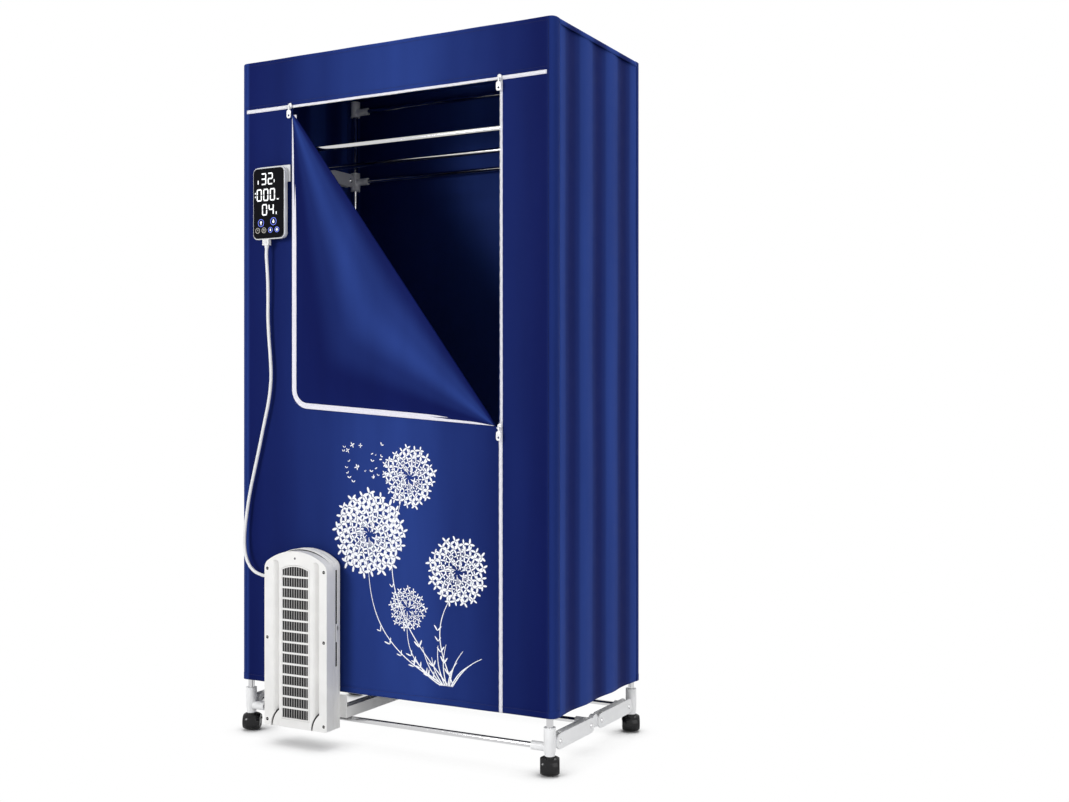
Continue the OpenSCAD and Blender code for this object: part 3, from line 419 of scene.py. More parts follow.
def across_pleats(made):
    """1 on the crests of the sides' pleats and 0 in their folds."""
    depth = made.span(made.part(made.place, "Y"), SIDE_LO.y, SIDE_HI.y)
    turn = made.maths("MULTIPLY", depth, 2 * math.pi * settings().cloth.pleats)
    return made.span(made.maths("COSINE", turn), -1.0, 1.0)


def across_flap(made):
    """0 at the flap's free edge and 1 at its fold, from its UV map."""
    return made.part(made.coordinates.outputs["UV"], "X")


# Painted shade and painted highlight of the blue along these values: place, and share of the light blue.
# The front's flat is darker towards its sides and lighter at its round corners, the sides are lighter on
# the pleats' crests, and the flap is lighter in a band along its bulge.
FRONT_PAINTED_SHADE = (
    (0.0, 0.85), (0.024, 0.85), (0.031, 0.12), (0.12, 0.22), (0.28, 0.52), (0.44, 0.92),
    (0.60, 0.98), (0.72, 0.58), (0.88, 0.26), (0.975, 0.10), (0.992, 0.62), (1.0, 0.60),
)
SIDE_PAINTED_SHADE = ((0.0, 0.20), (0.30, 0.45), (0.75, 1.15), (1.0, 1.30))
FLAP_PAINTED_SHADE = (
    (0.0, 0.12), (0.24, 0.08), (0.42, 0.38), (0.60, 0.98), (0.71, 0.70), (0.84, 0.08), (1.0, 0.05),
)


def mottled(name, base, roughness, size, low, high, other):
    """A finish with spots of a second colour."""
    made = Finish(name, base, roughness)
    return made.set(Base_Color=made.mix(made.span(made.noise(size), low, high), base, other))


def woven_tape():
    made = mottled("white woven tape", settings().zips.tape, 0.62, 0.004, 0.3, 0.7, (0.72, 0.71, 0.80))
    return weave(made.set(Sheen_Weight=0.12), 0.0009, 0.00006, 0.5)


def screen_ink():
    ink = settings().motif.ink
    made = mottled("white screen print", ink, 0.55, 0.012, 0.35, 0.7, (0.88, 0.90, 0.96))
    return made.bump(made.noise(0.0012), 0.00004, 0.4)


def moulded(name, base, roughness):
    """Moulded plastic: fine spark grain and faint unevenness of colour and gloss."""
    made = mottled(name, base, roughness, 0.05, 0.3, 0.7, tuple(0.93 * c for c in base))
    made.rough(made.noise(0.02), roughness - 0.06, roughness + 0.07)
    return made.bump(made.noise(0.0009, 1.0), 0.00005, 0.35)


def plain(name, base, roughness, gloss=None, grain=None, metallic=0.0, **values):
    """A finish of one colour. Gloss is (noise, lowest, highest), grain is (noise, depth, strength)."""
    made = Finish(name, base, roughness, metallic).set(**values)
    if gloss:
        made.rough(made.noise(*gloss[0]), *gloss[1:])
    if grain:
        made.bump(made.noise(*grain[0]), *grain[1:])
    return made


def lit(name, rgb, strength):
    """A lit figure or key behind the display window."""
    return plain(
        name, rgb, 0.4, ((0.004,), 0.35, 0.45), Emission_Strength=strength, Emission_Color=rgb)


# Open sky over the floor, as a share, where its shade is full and where it ends
SHADE_SPAN = (0.45, 0.97)


def studio_floor():
    """Pale floor that shows white to the camera, but for the soft shade near what stands on it."""
    studio = settings().studio
    made = Finish("pale floor", studio.floor, 0.7).set(Specular_IOR_Level=0.0)
    lighter = tuple(c + 0.02 for c in studio.floor)
    made.set(Base_Color=made.mix(made.noise(0.8), studio.floor, lighter))
    near = made.node("ShaderNodeAmbientOcclusion", {"Distance": studio.shade_reach}, samples=12)
    glow = made.span(near.outputs["AO"], *SHADE_SPAN, "SMOOTHSTEP")
    seen = made.maths("MULTIPLY", glow, straight_rays(made.tree))
    white = made.node("ShaderNodeEmission", {})
    mixed = made.node("ShaderNodeMixShader", {0: seen, 1: made.surface.outputs[0], 2: white.outputs[0]})
    made.tree.links.new(mixed.outputs[0], made.tree.nodes["Material Output"].inputs["Surface"])
    return made


def straight_rays(tree):
    """1 for what the camera sees, also by gloss or through glass."""
    path = tree.nodes.new("ShaderNodeLightPath")
    either = path.outputs["Is Camera Ray"]
    for name in ("Is Glossy Ray", "Is Transmission Ray"):
        sockets = {0: either, 1: path.outputs[name]}
        either = new_node(tree, "ShaderNodeMath", sockets, operation="MAXIMUM").outputs[0]
    return either


FINISHES = {
    "front_satin": lambda: satin("blue satin front", across_width, FRONT_PAINTED_SHADE),
    "side_satin": lambda: satin("blue satin side", across_pleats, SIDE_PAINTED_SHADE),
    "flap_satin": lambda: satin("blue satin flap", across_flap, FLAP_PAINTED_SHADE),
    "tape": woven_tape,
    "ink": screen_ink,
    "floor": studio_floor,
    "heater": lambda: moulded("warm white plastic", settings().heater.plastic, 0.36),
    "grille": lambda: moulded("white grille plastic", settings().heater.plastic, 0.34),
    # The fins are the grille's white plastic painted grey: painted shade of the fins in their slots.
    "fins": lambda: moulded("grey grille fins", (0.36, 0.355, 0.35), 0.45),
    "mould": lambda: moulded("white frame plastic", settings().frame.plastic, 0.4),
    "silver": lambda: moulded("silver plastic", settings().controller.case, 0.3).set(Metallic=0.25),
    # Dark plastic of the fan and the cable bush, also used as painted shade in gaps, slits and behind the
    # grille's slots.
    "dark": lambda: moulded("dark plastic", settings().heater.inside, 0.6).set(Specular_IOR_Level=0.1),
    "figure": lambda: lit("lit figures", settings().controller.figure, 0.35),
    "key": lambda: lit("lit keys", settings().controller.key, 0.6),
    "mark": lambda: lit("dim symbols", settings().controller.mark, 0.2),
    "teeth": lambda: plain(
        "white nylon teeth", settings().zips.tooth, 0.35, None, ((0.002,), 0.00004, 0.3)),
    "lacquer": lambda: plain(
        "white lacquered metal", settings().zips.metal, 0.28, None, ((0.003,), 0.00003, 0.3),
        Coat_Weight=0.4, Coat_Roughness=0.12),
    "thread": lambda: plain(
        "blue thread", settings().cloth.shade, 0.7, None, ((0.0008,), 0.00005, 0.5)),
    "chrome": lambda: plain(
        "polished chrome", settings().frame.chrome, 0.09, ((0.02, 4.0, (0.2, 1, 1)), 0.06, 0.15),
        ((0.012,), 0.00004, 0.25), 1.0),
    "metal": lambda: plain(
        "plain aluminium", (0.42, 0.42, 0.43), 0.35, None, ((0.002, 2.0, (1, 1, 0.1)), 0.00003, 0.4), 1.0),
    # Near-black discs over the screws' places.
    "screw": lambda: plain(
        "blackened steel", (0.012, 0.012, 0.012), 0.45, None, ((0.0015,), 0.00003, 0.4),
        Specular_IOR_Level=0.08),
    "nylon": lambda: plain(
        "gloss black nylon", settings().frame.black, 0.2, ((0.006,), 0.12, 0.24),
        ((0.0015,), 0.00003, 0.25), Specular_IOR_Level=0.28),
    "glass": lambda: plain(
        "black display window", settings().controller.face, 0.3, ((0.03,), 0.26, 0.34),
        Specular_IOR_Level=0.02),
    "lamp": lambda: plain("grey lamp lens", (0.16, 0.16, 0.17), 0.25, ((0.001,), 0.2, 0.3)),
    "cord": lambda: plain(
        "white cord sheath", settings().cord.sheath, 0.42, ((0.01,), 0.36, 0.48),
        ((0.0025,), 0.00006, 0.3)),
}

# The finish of a frame part that isn't dressed otherwise, by its slot
LOOKS = {
    "chrome_tube": "chrome", "frame_plastic": "mould", "black_plastic": "nylon", "slider_metal": "lacquer",
    "white_plastic": "heater", "fan_plastic": "dark", "motor_metal": "metal", "silver_plastic": "silver",
    "gloss_black": "glass", "cord_white": "cord", "blue_cloth": "side_satin", "white_tape": "tape",
}


# ------------------------------------------------------------------ making pieces


def mesh_of(bm, name):
    """A bmesh as a mesh of the scene."""
    mesh = bpy.data.meshes.new(name)
    bm.to_mesh(mesh)
    bm.free()
    return mesh


def added(name, data):
    """A new object in the scene."""
    made = bpy.data.objects.new(name, data)
    bpy.context.scene.collection.objects.link(made)
    return made


def piece(name, bm, look, slot, node=None, body="front_frame", sharp=35, tidy=True):
    """Turns a bmesh into a named piece, which rides with the node that it replaces or else on a body."""
    if tidy:
        bmesh.ops.remove_doubles(bm, verts=bm.verts, dist=1e-6)
        bmesh.ops.recalc_face_normals(bm, faces=bm.faces)
    mesh = mesh_of(bm, name)
    mesh.shade_smooth()
    mesh.set_sharp_from_angle(angle=math.radians(sharp))
    mesh.materials.append(finish(look))
    made = added(name, mesh)
    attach(made, FRAME["nodes"][node]["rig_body"] if node else body)
    if node:
        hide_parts(node)
    return made


def baked(obj):
    """Applies a piece's modifiers to its mesh."""
    graph = bpy.context.evaluated_depsgraph_get()
    graph.update()
    mesh = bpy.data.meshes.new_from_object(obj.evaluated_get(graph))
    obj.modifiers.clear()
    obj.data = mesh
    return obj


def thicken(obj, thickness):
    """Gives a sheet its thickness behind the face that it shows."""
    made = obj.modifiers.new("thickness", "SOLIDIFY")
    made.thickness = thickness
    made.offset = -1.0
    return baked(obj)


def rounded(obj, width, segments=2, angle=35):
    """Rounds a piece's hard edges."""
    made = obj.modifiers.new("edges", "BEVEL")
    made.width = width
    made.segments = segments
    made.limit_method = "ANGLE"
    made.angle_limit = math.radians(angle)
    made.harden_normals = True
    return obj


def softened(name, node, width, segments=2, angle=30, slot=None, look=None, shape=None):
    """A frame part's own form with its hard edges rounded, first changed by shape(bm) if there is one."""
    bm = bmesh.new()
    bm.from_mesh(FRAME["nodes"][node].data)
    bmesh.ops.remove_doubles(bm, verts=bm.verts, dist=2e-6)
    bmesh.ops.dissolve_limit(bm, angle_limit=math.radians(1), verts=bm.verts, edges=bm.edges)
    if shape:
        shape(bm)
    slot = slot or SLOTS[node]
    made = piece(name, bm, look or LOOKS[slot], slot, node, sharp=angle, tidy=False)
    return rounded(made, width, segments, angle)


def cut(obj, loop, y0, y1):
    """Cuts an upright prism out of a closed piece."""
    bm = bmesh.new()
    plate(bm, [loop], y0, y1 - y0)
    carve(obj, bm)


def carve(obj, bm):
    """Cuts a closed form out of a closed piece."""
    bmesh.ops.recalc_face_normals(bm, faces=bm.faces)
    cutter = added("cutter", mesh_of(bm, "cutter"))
    made = obj.modifiers.new("cut", "BOOLEAN")
    made.operation = "DIFFERENCE"
    made.solver = "EXACT"
    made.object = cutter
    baked(obj)
    bpy.data.objects.remove(cutter)


def barrelled(bm, centre, axis, half, amount):
    """Draws a form in towards both its ends along an axis, like a barrel."""
    for i in range(-6, 7):
        spot = centre + axis * half * math.sin(math.pi / 2 * i / 7)
        parts = bm.verts[:] + bm.edges[:] + bm.faces[:]
        bmesh.ops.bisect_plane(bm, geom=parts, plane_co=spot, plane_no=axis, dist=1e-6)
    for v in bm.verts:
        along = (v.co - centre).dot(axis)
        foot = centre + axis * along
        v.co = foot + (v.co - foot) * (1 - amount * min(abs(along) / half, 1.0) ** 3)


def smooth_step(t):
    """0 to 1 with level ends."""
    t = min(max(t, 0.0), 1.0)
    return t * t * (3 - 2 * t)


def sheet_mesh(bm, columns, rows, place, uv=False):
    """A grid bent by place(u, v), u and v from 0 to 1. It faces the front where u runs left to right."""
    made = bmesh.ops.create_grid(bm, x_segments=columns, y_segments=rows, size=0.5)["verts"]
    where = {v: (v.co.x + 0.5, v.co.y + 0.5) for v in made}
    if uv:
        layer = bm.loops.layers.uv.verify()
        for face in {f for v in made for f in v.link_faces}:
            for corner in face.loops:
                corner[layer].uv = where[corner.vert]
    for v, (u, t) in where.items():
        v.co = place(u, t)
    return made


def sheet_piece(name, columns, rows, place, thickness, *kind, sharp=60, flipped=False, uv=False, **where):
    """A bent sheet as a piece with its thickness; the kind is its look, slot (not used) and replaced node,
    if any.
    """
    bm = bmesh.new()
    sheet_mesh(bm, columns, rows, place, uv)
    if flipped:
        bmesh.ops.reverse_faces(bm, faces=bm.faces)
    return thicken(piece(name, bm, *kind, sharp=sharp, tidy=False, **where), thickness)


def arc(cx, cz, r, start, end, steps):
    """Points on an arc, in degrees, both ends included."""
    turns = [math.radians(start + (end - start) * i / steps) for i in range(steps + 1)]
    return [(cx + r * math.cos(a), cz + r * math.sin(a)) for a in turns]


def disc(cx, cz, r, steps):
    """Points round a circle."""
    return arc(cx, cz, r, 0, 360, steps)[:-1]


def round_box(cx, cz, w, h, r, steps=5):
    """A box with round corners, anticlockwise."""
    corners = ((1, -1, -90), (1, 1, 0), (-1, 1, 90), (-1, -1, 180))
    loop = []
    for sx, sz, turn in corners:
        loop += arc(cx + sx * (w / 2 - r), cz + sz * (h / 2 - r), r, turn, turn + 90, steps)
    return loop


def tower_loop(w, h, r, foot_r=0.0, steps=8):
    """The heater's outline: square foot, round shoulders and a shallow arch over them."""
    drop = 20 * MM
    chord = w / 2 - r + 4 * MM
    arch_r = (chord ** 2 + drop ** 2) / (2 * drop)
    arch_z = h - arch_r
    side = w / 2 - r
    rise = math.sqrt((arch_r - r) ** 2 - side ** 2)
    lean = math.degrees(math.atan2(rise, side))
    if foot_r:
        loop = arc(foot_r - w / 2, foot_r, foot_r, 180, 270, 4)
        loop += arc(w / 2 - foot_r, foot_r, foot_r, 270, 360, 4)
    else:
        loop = [(-w / 2, 0), (w / 2, 0)]
    loop += arc(side, arch_z + rise, r, 0, lean, steps)
    loop += arc(0, arch_z, arch_r, lean, 180 - lean, 40)[1:-1]
    loop += arc(-side, arch_z + rise, r, 180 - lean, 180, steps)
    return [(HEATER_X + x, HEATER_LO.z + z) for x, z in loop]


def grille_top(x):
    """Height of the grille's arched top at a distance from its middle."""
    lo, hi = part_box("heater_grille")
    half, rise = (hi.x - lo.x) / 2, 10 * MM
    r = (half ** 2 + rise ** 2) / (2 * rise)
    return hi.z - r + math.sqrt(r ** 2 - x ** 2)


def grille_loop(inset):
    """The grille's outline, drawn in by an amount."""
    lo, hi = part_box("heater_grille")
    half = (hi.x - lo.x) / 2
    top = [(HEATER_X + x, grille_top(x)) for x in (half - 2 * half * i / 24 for i in range(25))]
    return drawn_in([(lo.x, lo.z), (hi.x, lo.z)] + top, inset)


def ball(bm, centre, r, squeeze):
    """A small round knob."""
    matrix = Matrix.Translation(centre) @ Matrix.Diagonal((*squeeze, 1))
    bmesh.ops.create_uvsphere(bm, u_segments=20, v_segments=12, radius=r, matrix=matrix)


def drawn_in(loop, amount):
    """An anticlockwise loop moved inwards, or outwards if the amount is negative."""
    points = [Vector(p) for p in loop]
    made = []
    for before, here, after in zip(points[-1:] + points[:-1], points, points[1:] + points[:1]):
        a, b = (here - before).normalized(), (after - here).normalized()
        na, nb = Vector((-a.y, a.x)), Vector((-b.y, b.x))
        made.append(here + (na + nb) * amount / max(1 + na.dot(nb), 0.35))
    return [tuple(p) for p in made]


def plate(bm, loops, y, depth, front_r=0.0, back_r=0.0, steps=3):
    """An upright plate facing the front, of its outline and its holes, with round front and back edges."""
    turns = [math.radians(90 * i / steps) for i in range(steps + 1)]
    rings = [(front_r * (1 - math.cos(a)), front_r * (1 - math.sin(a))) for a in turns]
    rings += [(depth - back_r * (1 - math.sin(a)), back_r * (1 - math.cos(a))) for a in turns]
    rings = [r for i, r in enumerate(rings) if i == 0 or (Vector(r) - Vector(rings[i - 1])).length > 1e-7]
    lofted(bm, loops, y, rings)


def lofted(bm, loops, y, rings):
    """A closed solid through rings of (depth, inset), from its front face to its back face."""
    signs = [1] + [-1] * (len(loops) - 1)

    def at(loop, sign, ring):
        return [Vector((x, y + ring[0], z)) for x, z in drawn_in(loop, sign * ring[1])]

    edges = []
    for loop, sign in zip(loops, signs):
        verts = [bm.verts.new(p) for p in at(loop, sign, rings[0])]
        edges.append([bm.edges.new(pair) for pair in zip(verts, verts[1:] + verts[:1])])
    bmesh.ops.triangle_fill(bm, edges=[e for ring in edges for e in ring], use_beauty=True)
    for before, after in zip(rings, rings[1:]):
        for i, (loop, sign) in enumerate(zip(loops, signs)):
            spots = {key(p): q for p, q in zip(at(loop, sign, before), at(loop, sign, after))}
            grown = bmesh.ops.extrude_edge_only(bm, edges=edges[i])["geom"]
            fresh = {v for v in grown if isinstance(v, bmesh.types.BMVert)}
            for v in fresh:
                v.co = spots[key(v.co)]
            edges[i] = [e for e in grown if isinstance(e, bmesh.types.BMEdge) and set(e.verts) <= fresh]
    bmesh.ops.triangle_fill(bm, edges=[e for ring in edges for e in ring], use_beauty=True)


def key(point):
    """A point's place rounded to a micrometre, to look it up by."""
    return tuple(round(c * 1e6) for c in point)


def block(bm, centre, size, bevel=0.0, turn=None):
    """A bevelled box."""
    matrix = Matrix.Translation(centre) @ (turn or Matrix()) @ Matrix.Diagonal((*size, 1))
    made = bmesh.ops.create_cube(bm, size=1.0, matrix=matrix)["verts"]
    if bevel:
        edges = list({e for v in made for e in v.link_edges})
        bmesh.ops.bevel(bm, geom=edges, offset=bevel, segments=2, profile=0.5, affect="EDGES", material=-1)


def rod(bm, r, run, matrix, segments):
    """A round rod along Z, moved by a matrix."""
    bmesh.ops.create_cone(
        bm, cap_ends=True, segments=segments, radius1=r, radius2=r, depth=run, matrix=matrix)


def scatter(bm, unit, matrices):
    """Copies of a small mesh."""
    spots = [v.co.copy() for v in unit.vertices]
    for matrix in matrices:
        for v, spot in zip(unit.vertices, spots):
            v.co = matrix @ spot
        bm.from_mesh(unit)
    for v, spot in zip(unit.vertices, spots):
        v.co = spot


def unit_mesh(build):
    """A small mesh to be copied."""
    bm = bmesh.new()
    build(bm)
    return mesh_of(bm, "unit")


# ------------------------------------------------------------------ the cloth's surface


# The cloth's puckers: how far from a zip they reach and how deep they are, and where they fade at an edge
PUCKER_W, PUCKER_D, EDGE_W = 16 * MM, 0.4 * MM, 30 * MM


def cloth_depth(x, z):
    """How far the front cloth lies behind the front plane."""
    cloth = settings().cloth
    flat = HALF_W - cloth.corner_r
    if abs(x) >= flat:
        return 0.0
    wave = cloth.wave * (1 - math.cos(2 * math.pi * cloth.waves * (x / flat + 1) / 2)) / 2
    edge = smooth_step((flat - abs(x)) / EDGE_W)
    by_zip = math.exp(-abs(z - ZIP_Z) / PUCKER_W) * math.sin(x * 290 + 1.3 * math.sin(x * 41))
    by_door = math.exp(-abs(x - DOOR_X) / PUCKER_W) * math.sin(z * 250 + math.sin(z * 37))
    pucker = PUCKER_D * edge * (1 + by_zip + by_door)
    return wave * (0.75 + 0.25 * math.sin(3.1 * z + 2.0 * x)) + pucker


# Steps of the front and back cloth: across the flat, up to the top edge, round it, and on the roof
COLUMNS, ROWS, BENDS, LAPS = 172, 190, 4, 3


def plan_stations():
    """Places along the front cloth's plan, from the left side seam to the right: (x, depth, normal)."""
    cloth = settings().cloth
    r = cloth.corner_r
    flat = HALF_W - r
    left = [(-HALF_W, WRAP, -1.0, 0.0), (-HALF_W, (WRAP + r) / 2, -1.0, 0.0)]
    turns = [math.radians(90 * i / 6) for i in range(7)]
    left += [(-flat - r * math.cos(a), r - r * math.sin(a), -math.cos(a), -math.sin(a)) for a in turns]
    across = [(-flat + 2 * flat * i / COLUMNS, None, 0.0, -1.0) for i in range(1, COLUMNS)]
    right = [(-x, d, -nx, ny) for x, d, nx, ny in reversed(left)]
    return left + across + right


def cloth_point(station, z, off=0.0):
    """A point on the front cloth, or off it by a distance, as (x, depth behind the front plane, z)."""
    x, depth, nx, ny = station
    if depth is None:
        depth = cloth_depth(x, z)
    return x + nx * off, depth + ny * off, z


def on_cloth(x, z, off):
    """A point in front of the front cloth by a distance."""
    return Vector((x, FRONT + cloth_depth(x, z) - off, z))


def placed(point, back):
    """A point of the cloth, as (x, depth, z), on the front or turned round on to the back."""
    x, depth, z = point
    return Vector((-x, BACK - depth, z)) if back else Vector((x, FRONT + depth, z))


def wrap_cloth(name, node, back):
    """Front or back cloth, from its hem over the top edge on to the roof."""
    cloth = settings().cloth
    stations = plan_stations()
    rise = TOP - cloth.edge_r - HEM
    total = ROWS + BENDS + LAPS

    def place(u, v):
        station = stations[round(u * (len(stations) - 1))]
        row = round(v * total)
        x, depth, z = cloth_point(station, HEM + rise * min(row, ROWS) / ROWS)
        if row > ROWS:
            turn = math.radians(90 * min(row - ROWS, BENDS) / BENDS)
            z += cloth.edge_r * math.sin(turn)
            slide = cloth.edge_r * (1 - math.cos(turn))
            x -= station[2] * slide
            depth -= station[3] * slide
        if row > ROWS + BENDS:
            depth += (WRAP - depth) * (row - ROWS - BENDS) / LAPS
        return placed((x, depth, z), back)

    return sheet_piece(
        name, len(stations) - 1, total, place, cloth.thickness, "front_satin", "blue_cloth", node)


def window_loops(grow=0.0):
    """Outlines of the duct window behind the heater and of the slot for the controller's hanger."""
    duct = (HEATER_X, HEATER_LO.z + 0.236, 0.120, 0.190, 0.030)
    slot = ((CASE_LO.x + CASE_HI.x) / 2, CASE_LO.z + 0.108, 0.070, 0.040, 0.012)
    return [round_box(x, z, w + 2 * grow, h + 2 * grow, r + grow) for x, z, w, h, r in (duct, slot)]


def stitches(bm, points, lift):
    """A row of stitches along points that run in front of the cloth."""
    size = (settings().cloth.stitch, 0.6 * MM, 0.7 * MM)
    unit = unit_mesh(lambda made: block(made, (0, 0, 0), size, 0.2 * MM))
    matrices = []
    for a, b in zip(points, points[1:]):
        turn = (b - a).normalized().to_track_quat("X", "Z").to_matrix().to_4x4()
        matrices.append(Matrix.Translation((a + b) / 2 + lift) @ turn)
    scatter(bm, unit, matrices)


def spaced(start, end, pitch):
    """Numbers from start to end, both included, at about a pitch."""
    count = max(int(abs(end - start) / pitch), 1)
    return [start + (end - start) * i / count for i in range(count + 1)]


# ------------------------------------------------------------------ operators


# Where the camera stands, its way, and its sensor's width in mm
EYE = Vector((1.769, FRONT - 2.539, 0.841))
AHEAD = Vector((-0.4747, 0.8802, 0.0))
SENSOR = 36.0


class CABINET_OT_camera(Operator):
    """Add the camera at the viewing angle of a catalogue picture"""

    bl_idname = "cabinet.camera"
    bl_label = "Camera"

    def execute(self, context):
        lens = bpy.data.cameras.new("camera")
        lens.lens = settings().studio.lens
        lens.sensor_width = SENSOR
        made = added("camera", lens)
        made.location = EYE
        made.rotation_euler = AHEAD.to_track_quat("-Z", "Y").to_euler()
        context.scene.camera = made
        return {"FINISHED"}


# Route of the controller's lead: distance from the cabinet's middle, from the front plane, and height
CORD_ROUTE = [
    (-353, -18, 1205), (-353, -16, 1180), (-352, -14, 1142), (-353, -12, 1098), (-354, -11, 1052),
    (-352, -10, 1004), (-348, -10, 960), (-345, -10, 912), (-347, -10, 875), (-354, -10, 834),
    (-368, -10, 780), (-384, -10, 718), (-400, -11, 656), (-412, -12, 606), (-420, -14, 556),
    (-425, -16, 508), (-422, -19, 466), (-409, -23, 436), (-388, -26, 416), (-360, -29, 407),
]


class CABINET_OT_control_cord(Operator):
    """Add the lead from the controller to the heater, with its connector and strain relief"""

    bl_idname = "cabinet.control_cord"
    bl_label = "Control cord"

    def execute(self, context):
        size = settings().cord
        start, end = middle("cord_plug"), middle("cord_gland")
        start.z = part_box("cord_plug")[0].z
        end.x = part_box("cord_gland")[0].x
        run_in = Vector((14 * MM, 0, 0))
        points = [Vector((x * MM, FRONT + y * MM, z * MM)) for x, y, z in CORD_ROUTE]
        points = [start] + points + [end - run_in, end]
        curve = bpy.data.curves.new("control_lead", "CURVE")
        curve.dimensions = "3D"
        curve.bevel_depth = size.diameter / 2
        curve.bevel_resolution = 6
        curve.resolution_u = 8
        curve.use_fill_caps = True
        spline = curve.splines.new("BEZIER")
        spline.bezier_points.add(len(points) - 1)
        for i, (spot, point) in enumerate(zip(spline.bezier_points, points)):
            reach = (points[min(i + 1, len(points) - 1)] - points[max(i - 1, 0)]) / 6
            spot.co = point
            spot.handle_left = point - reach
            spot.handle_right = point + reach
        curve.materials.append(finish("cord"))
        made = added("control_lead", curve)
        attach(made, "front_frame")
        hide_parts("control_cord")
        run = sum((b - a).length for a, b in zip(points, points[1:]))
        plug = softened("lead_plug", "cord_plug", 0.6 * MM, slot="cord_white")
        gland = softened("lead_gland", "cord_gland", 0.5 * MM, slot="cord_white")
        return {"FINISHED"}


class CABINET_OT_cover_cloth(Operator):
    """Add the front and back cloth with the door's opening and the window behind the heater"""

    bl_idname = "cabinet.cover_cloth"
    bl_label = "Front and back cloth"

    def execute(self, context):
        zips = settings().zips
        back = wrap_cloth("back_cloth", "back_panel", True)
        front = wrap_cloth("front_cloth", "front_panel", False)
        top = ZIP_Z - zips.half_w / 2
        door = [
            (FLAP_LEFT, FLAP_TOP), (FLAP_RIGHT, FLAP_LOW), (DOOR_X - zips.half_w, FLAP_LOW),
            (DOOR_X, top), (FLAP_LEFT, top)]
        for loop in [door] + window_loops():
            cut(front, loop, FRONT - 0.01, FRONT + 0.014)
        return {"FINISHED"}


class CABINET_OT_side_cloth(Operator):
    """Add the pleated sides and the roof"""

    bl_idname = "cabinet.side_cloth"
    bl_label = "Sides and roof"

    def execute(self, context):
        cloth = settings().cloth
        lap = 1.5 * MM
        y0, y1 = SIDE_LO.y - lap, SIDE_HI.y + lap
        depth = y1 - y0

        def pleat(v):
            wave = (1 - math.cos(2 * math.pi * cloth.pleats * v)) / 2
            return cloth.pleat * wave ** 0.8 + 0.6 * MM

        for side, hand in ((-1, "left"), (1, "right")):
            lo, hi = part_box("side_panel_" + hand)

            def place(u, v):
                z = lo.z + (hi.z - lo.z) * v
                sway = 0.0007 * math.sin(9 * z + 5 * u) * math.sin(math.pi * v)
                return Vector((side * (HALF_W - pleat(u) + sway), y0 + depth * u, z))

            made = sheet_piece(
                hand + "_cloth", 16 * cloth.pleats, 120, place, cloth.thickness, "side_satin",
                "blue_cloth", "side_panel_" + hand, sharp=70, flipped=side < 0)
            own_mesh(made)
        lip = 9 * MM
        edge = cloth.edge_r
        flat = HALF_W - edge

        half = flat + edge * math.pi / 2 + lip
        thin = 0.6 * MM

        def roof(u, v):
            across = (2 * u - 1) * half
            y = y0 + depth * v
            ripple = 0.6 * MM * math.sin(60 * y) * math.sin(7 * across)
            drop = cloth.sag * (1 - math.cos(2 * math.pi * v)) / 2 + ripple
            side, far = math.copysign(1, across), abs(across)
            if far <= flat:
                return Vector((across, y, TOP - thin - drop * (1 - (far / flat) ** 6)))
            turn = min((far - flat) / edge, math.pi / 2)
            down = max(far - flat - edge * math.pi / 2, 0) + edge * (1 - math.cos(turn))
            return Vector((side * (flat + edge * math.sin(turn)), y, TOP - thin - down))

        made = sheet_piece(
            "roof_cloth", 260, 40, roof, thin, "side_satin", "blue_cloth", "roof_panel", sharp=70)
        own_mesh(made)
        return {"FINISHED"}


class CABINET_OT_hems(Operator):
    """Add the turned hems, corner seams and stitching of the cover"""

    bl_idname = "cabinet.hems"
    bl_label = "Hems and seams"

    def execute(self, context):
        cloth = settings().cloth
        stations = plan_stations()
        flat = HALF_W - cloth.corner_r
        seam_r, thread_lift = 1.1 * MM, 0.8 * MM
        front_rows = [HEM + cloth.hem_h - 2.5 * MM, ZIP_Z + 12 * MM, TOP - 10 * MM]
        back_rows = [HEM + 13.5 * MM]
        for back, name, rows in ((False, "front", front_rows), (True, "back", back_rows)):
            body = "rear_frame" if back else "front_frame"

            def place(u, v):
                station = stations[round(u * (len(stations) - 1))]
                return placed(cloth_point(station, HEM + cloth.hem_h * v, 0.5 * MM), back)

            sheet_piece(
                name + "_hem", len(stations) - 1, 3, place, 0.5 * MM, "front_satin", "blue_cloth",
                body=body)
            bm = bmesh.new()
            out = Vector((0, thread_lift if back else -thread_lift, 0))
            for z in rows:
                across = [placed((x, cloth_depth(x, z), z), back)
                          for x in spaced(-flat, flat, cloth.stitch_pitch)]
                stitches(bm, across, out)
            for x in (-flat - MM, flat + MM):
                upright = [placed((x, 0.0, z), back)
                           for z in spaced(HEM + 4 * MM, TOP - 6 * MM, cloth.stitch_pitch)]
                stitches(bm, upright, out)
            piece(name + "_stitches", bm, "thread", "blue_cloth", body=body, tidy=False)
            bm = bmesh.new()
            for side in (-1, 1):
                spot = placed((side * flat, -0.1 * MM, (TOP + HEM) / 2), back)
                rod(bm, seam_r, TOP - HEM - 4 * MM, Matrix.Translation(spot), 8)
            piece(name + "_corner_seams", bm, "front_satin", "blue_cloth", body=body)
        return {"FINISHED"}


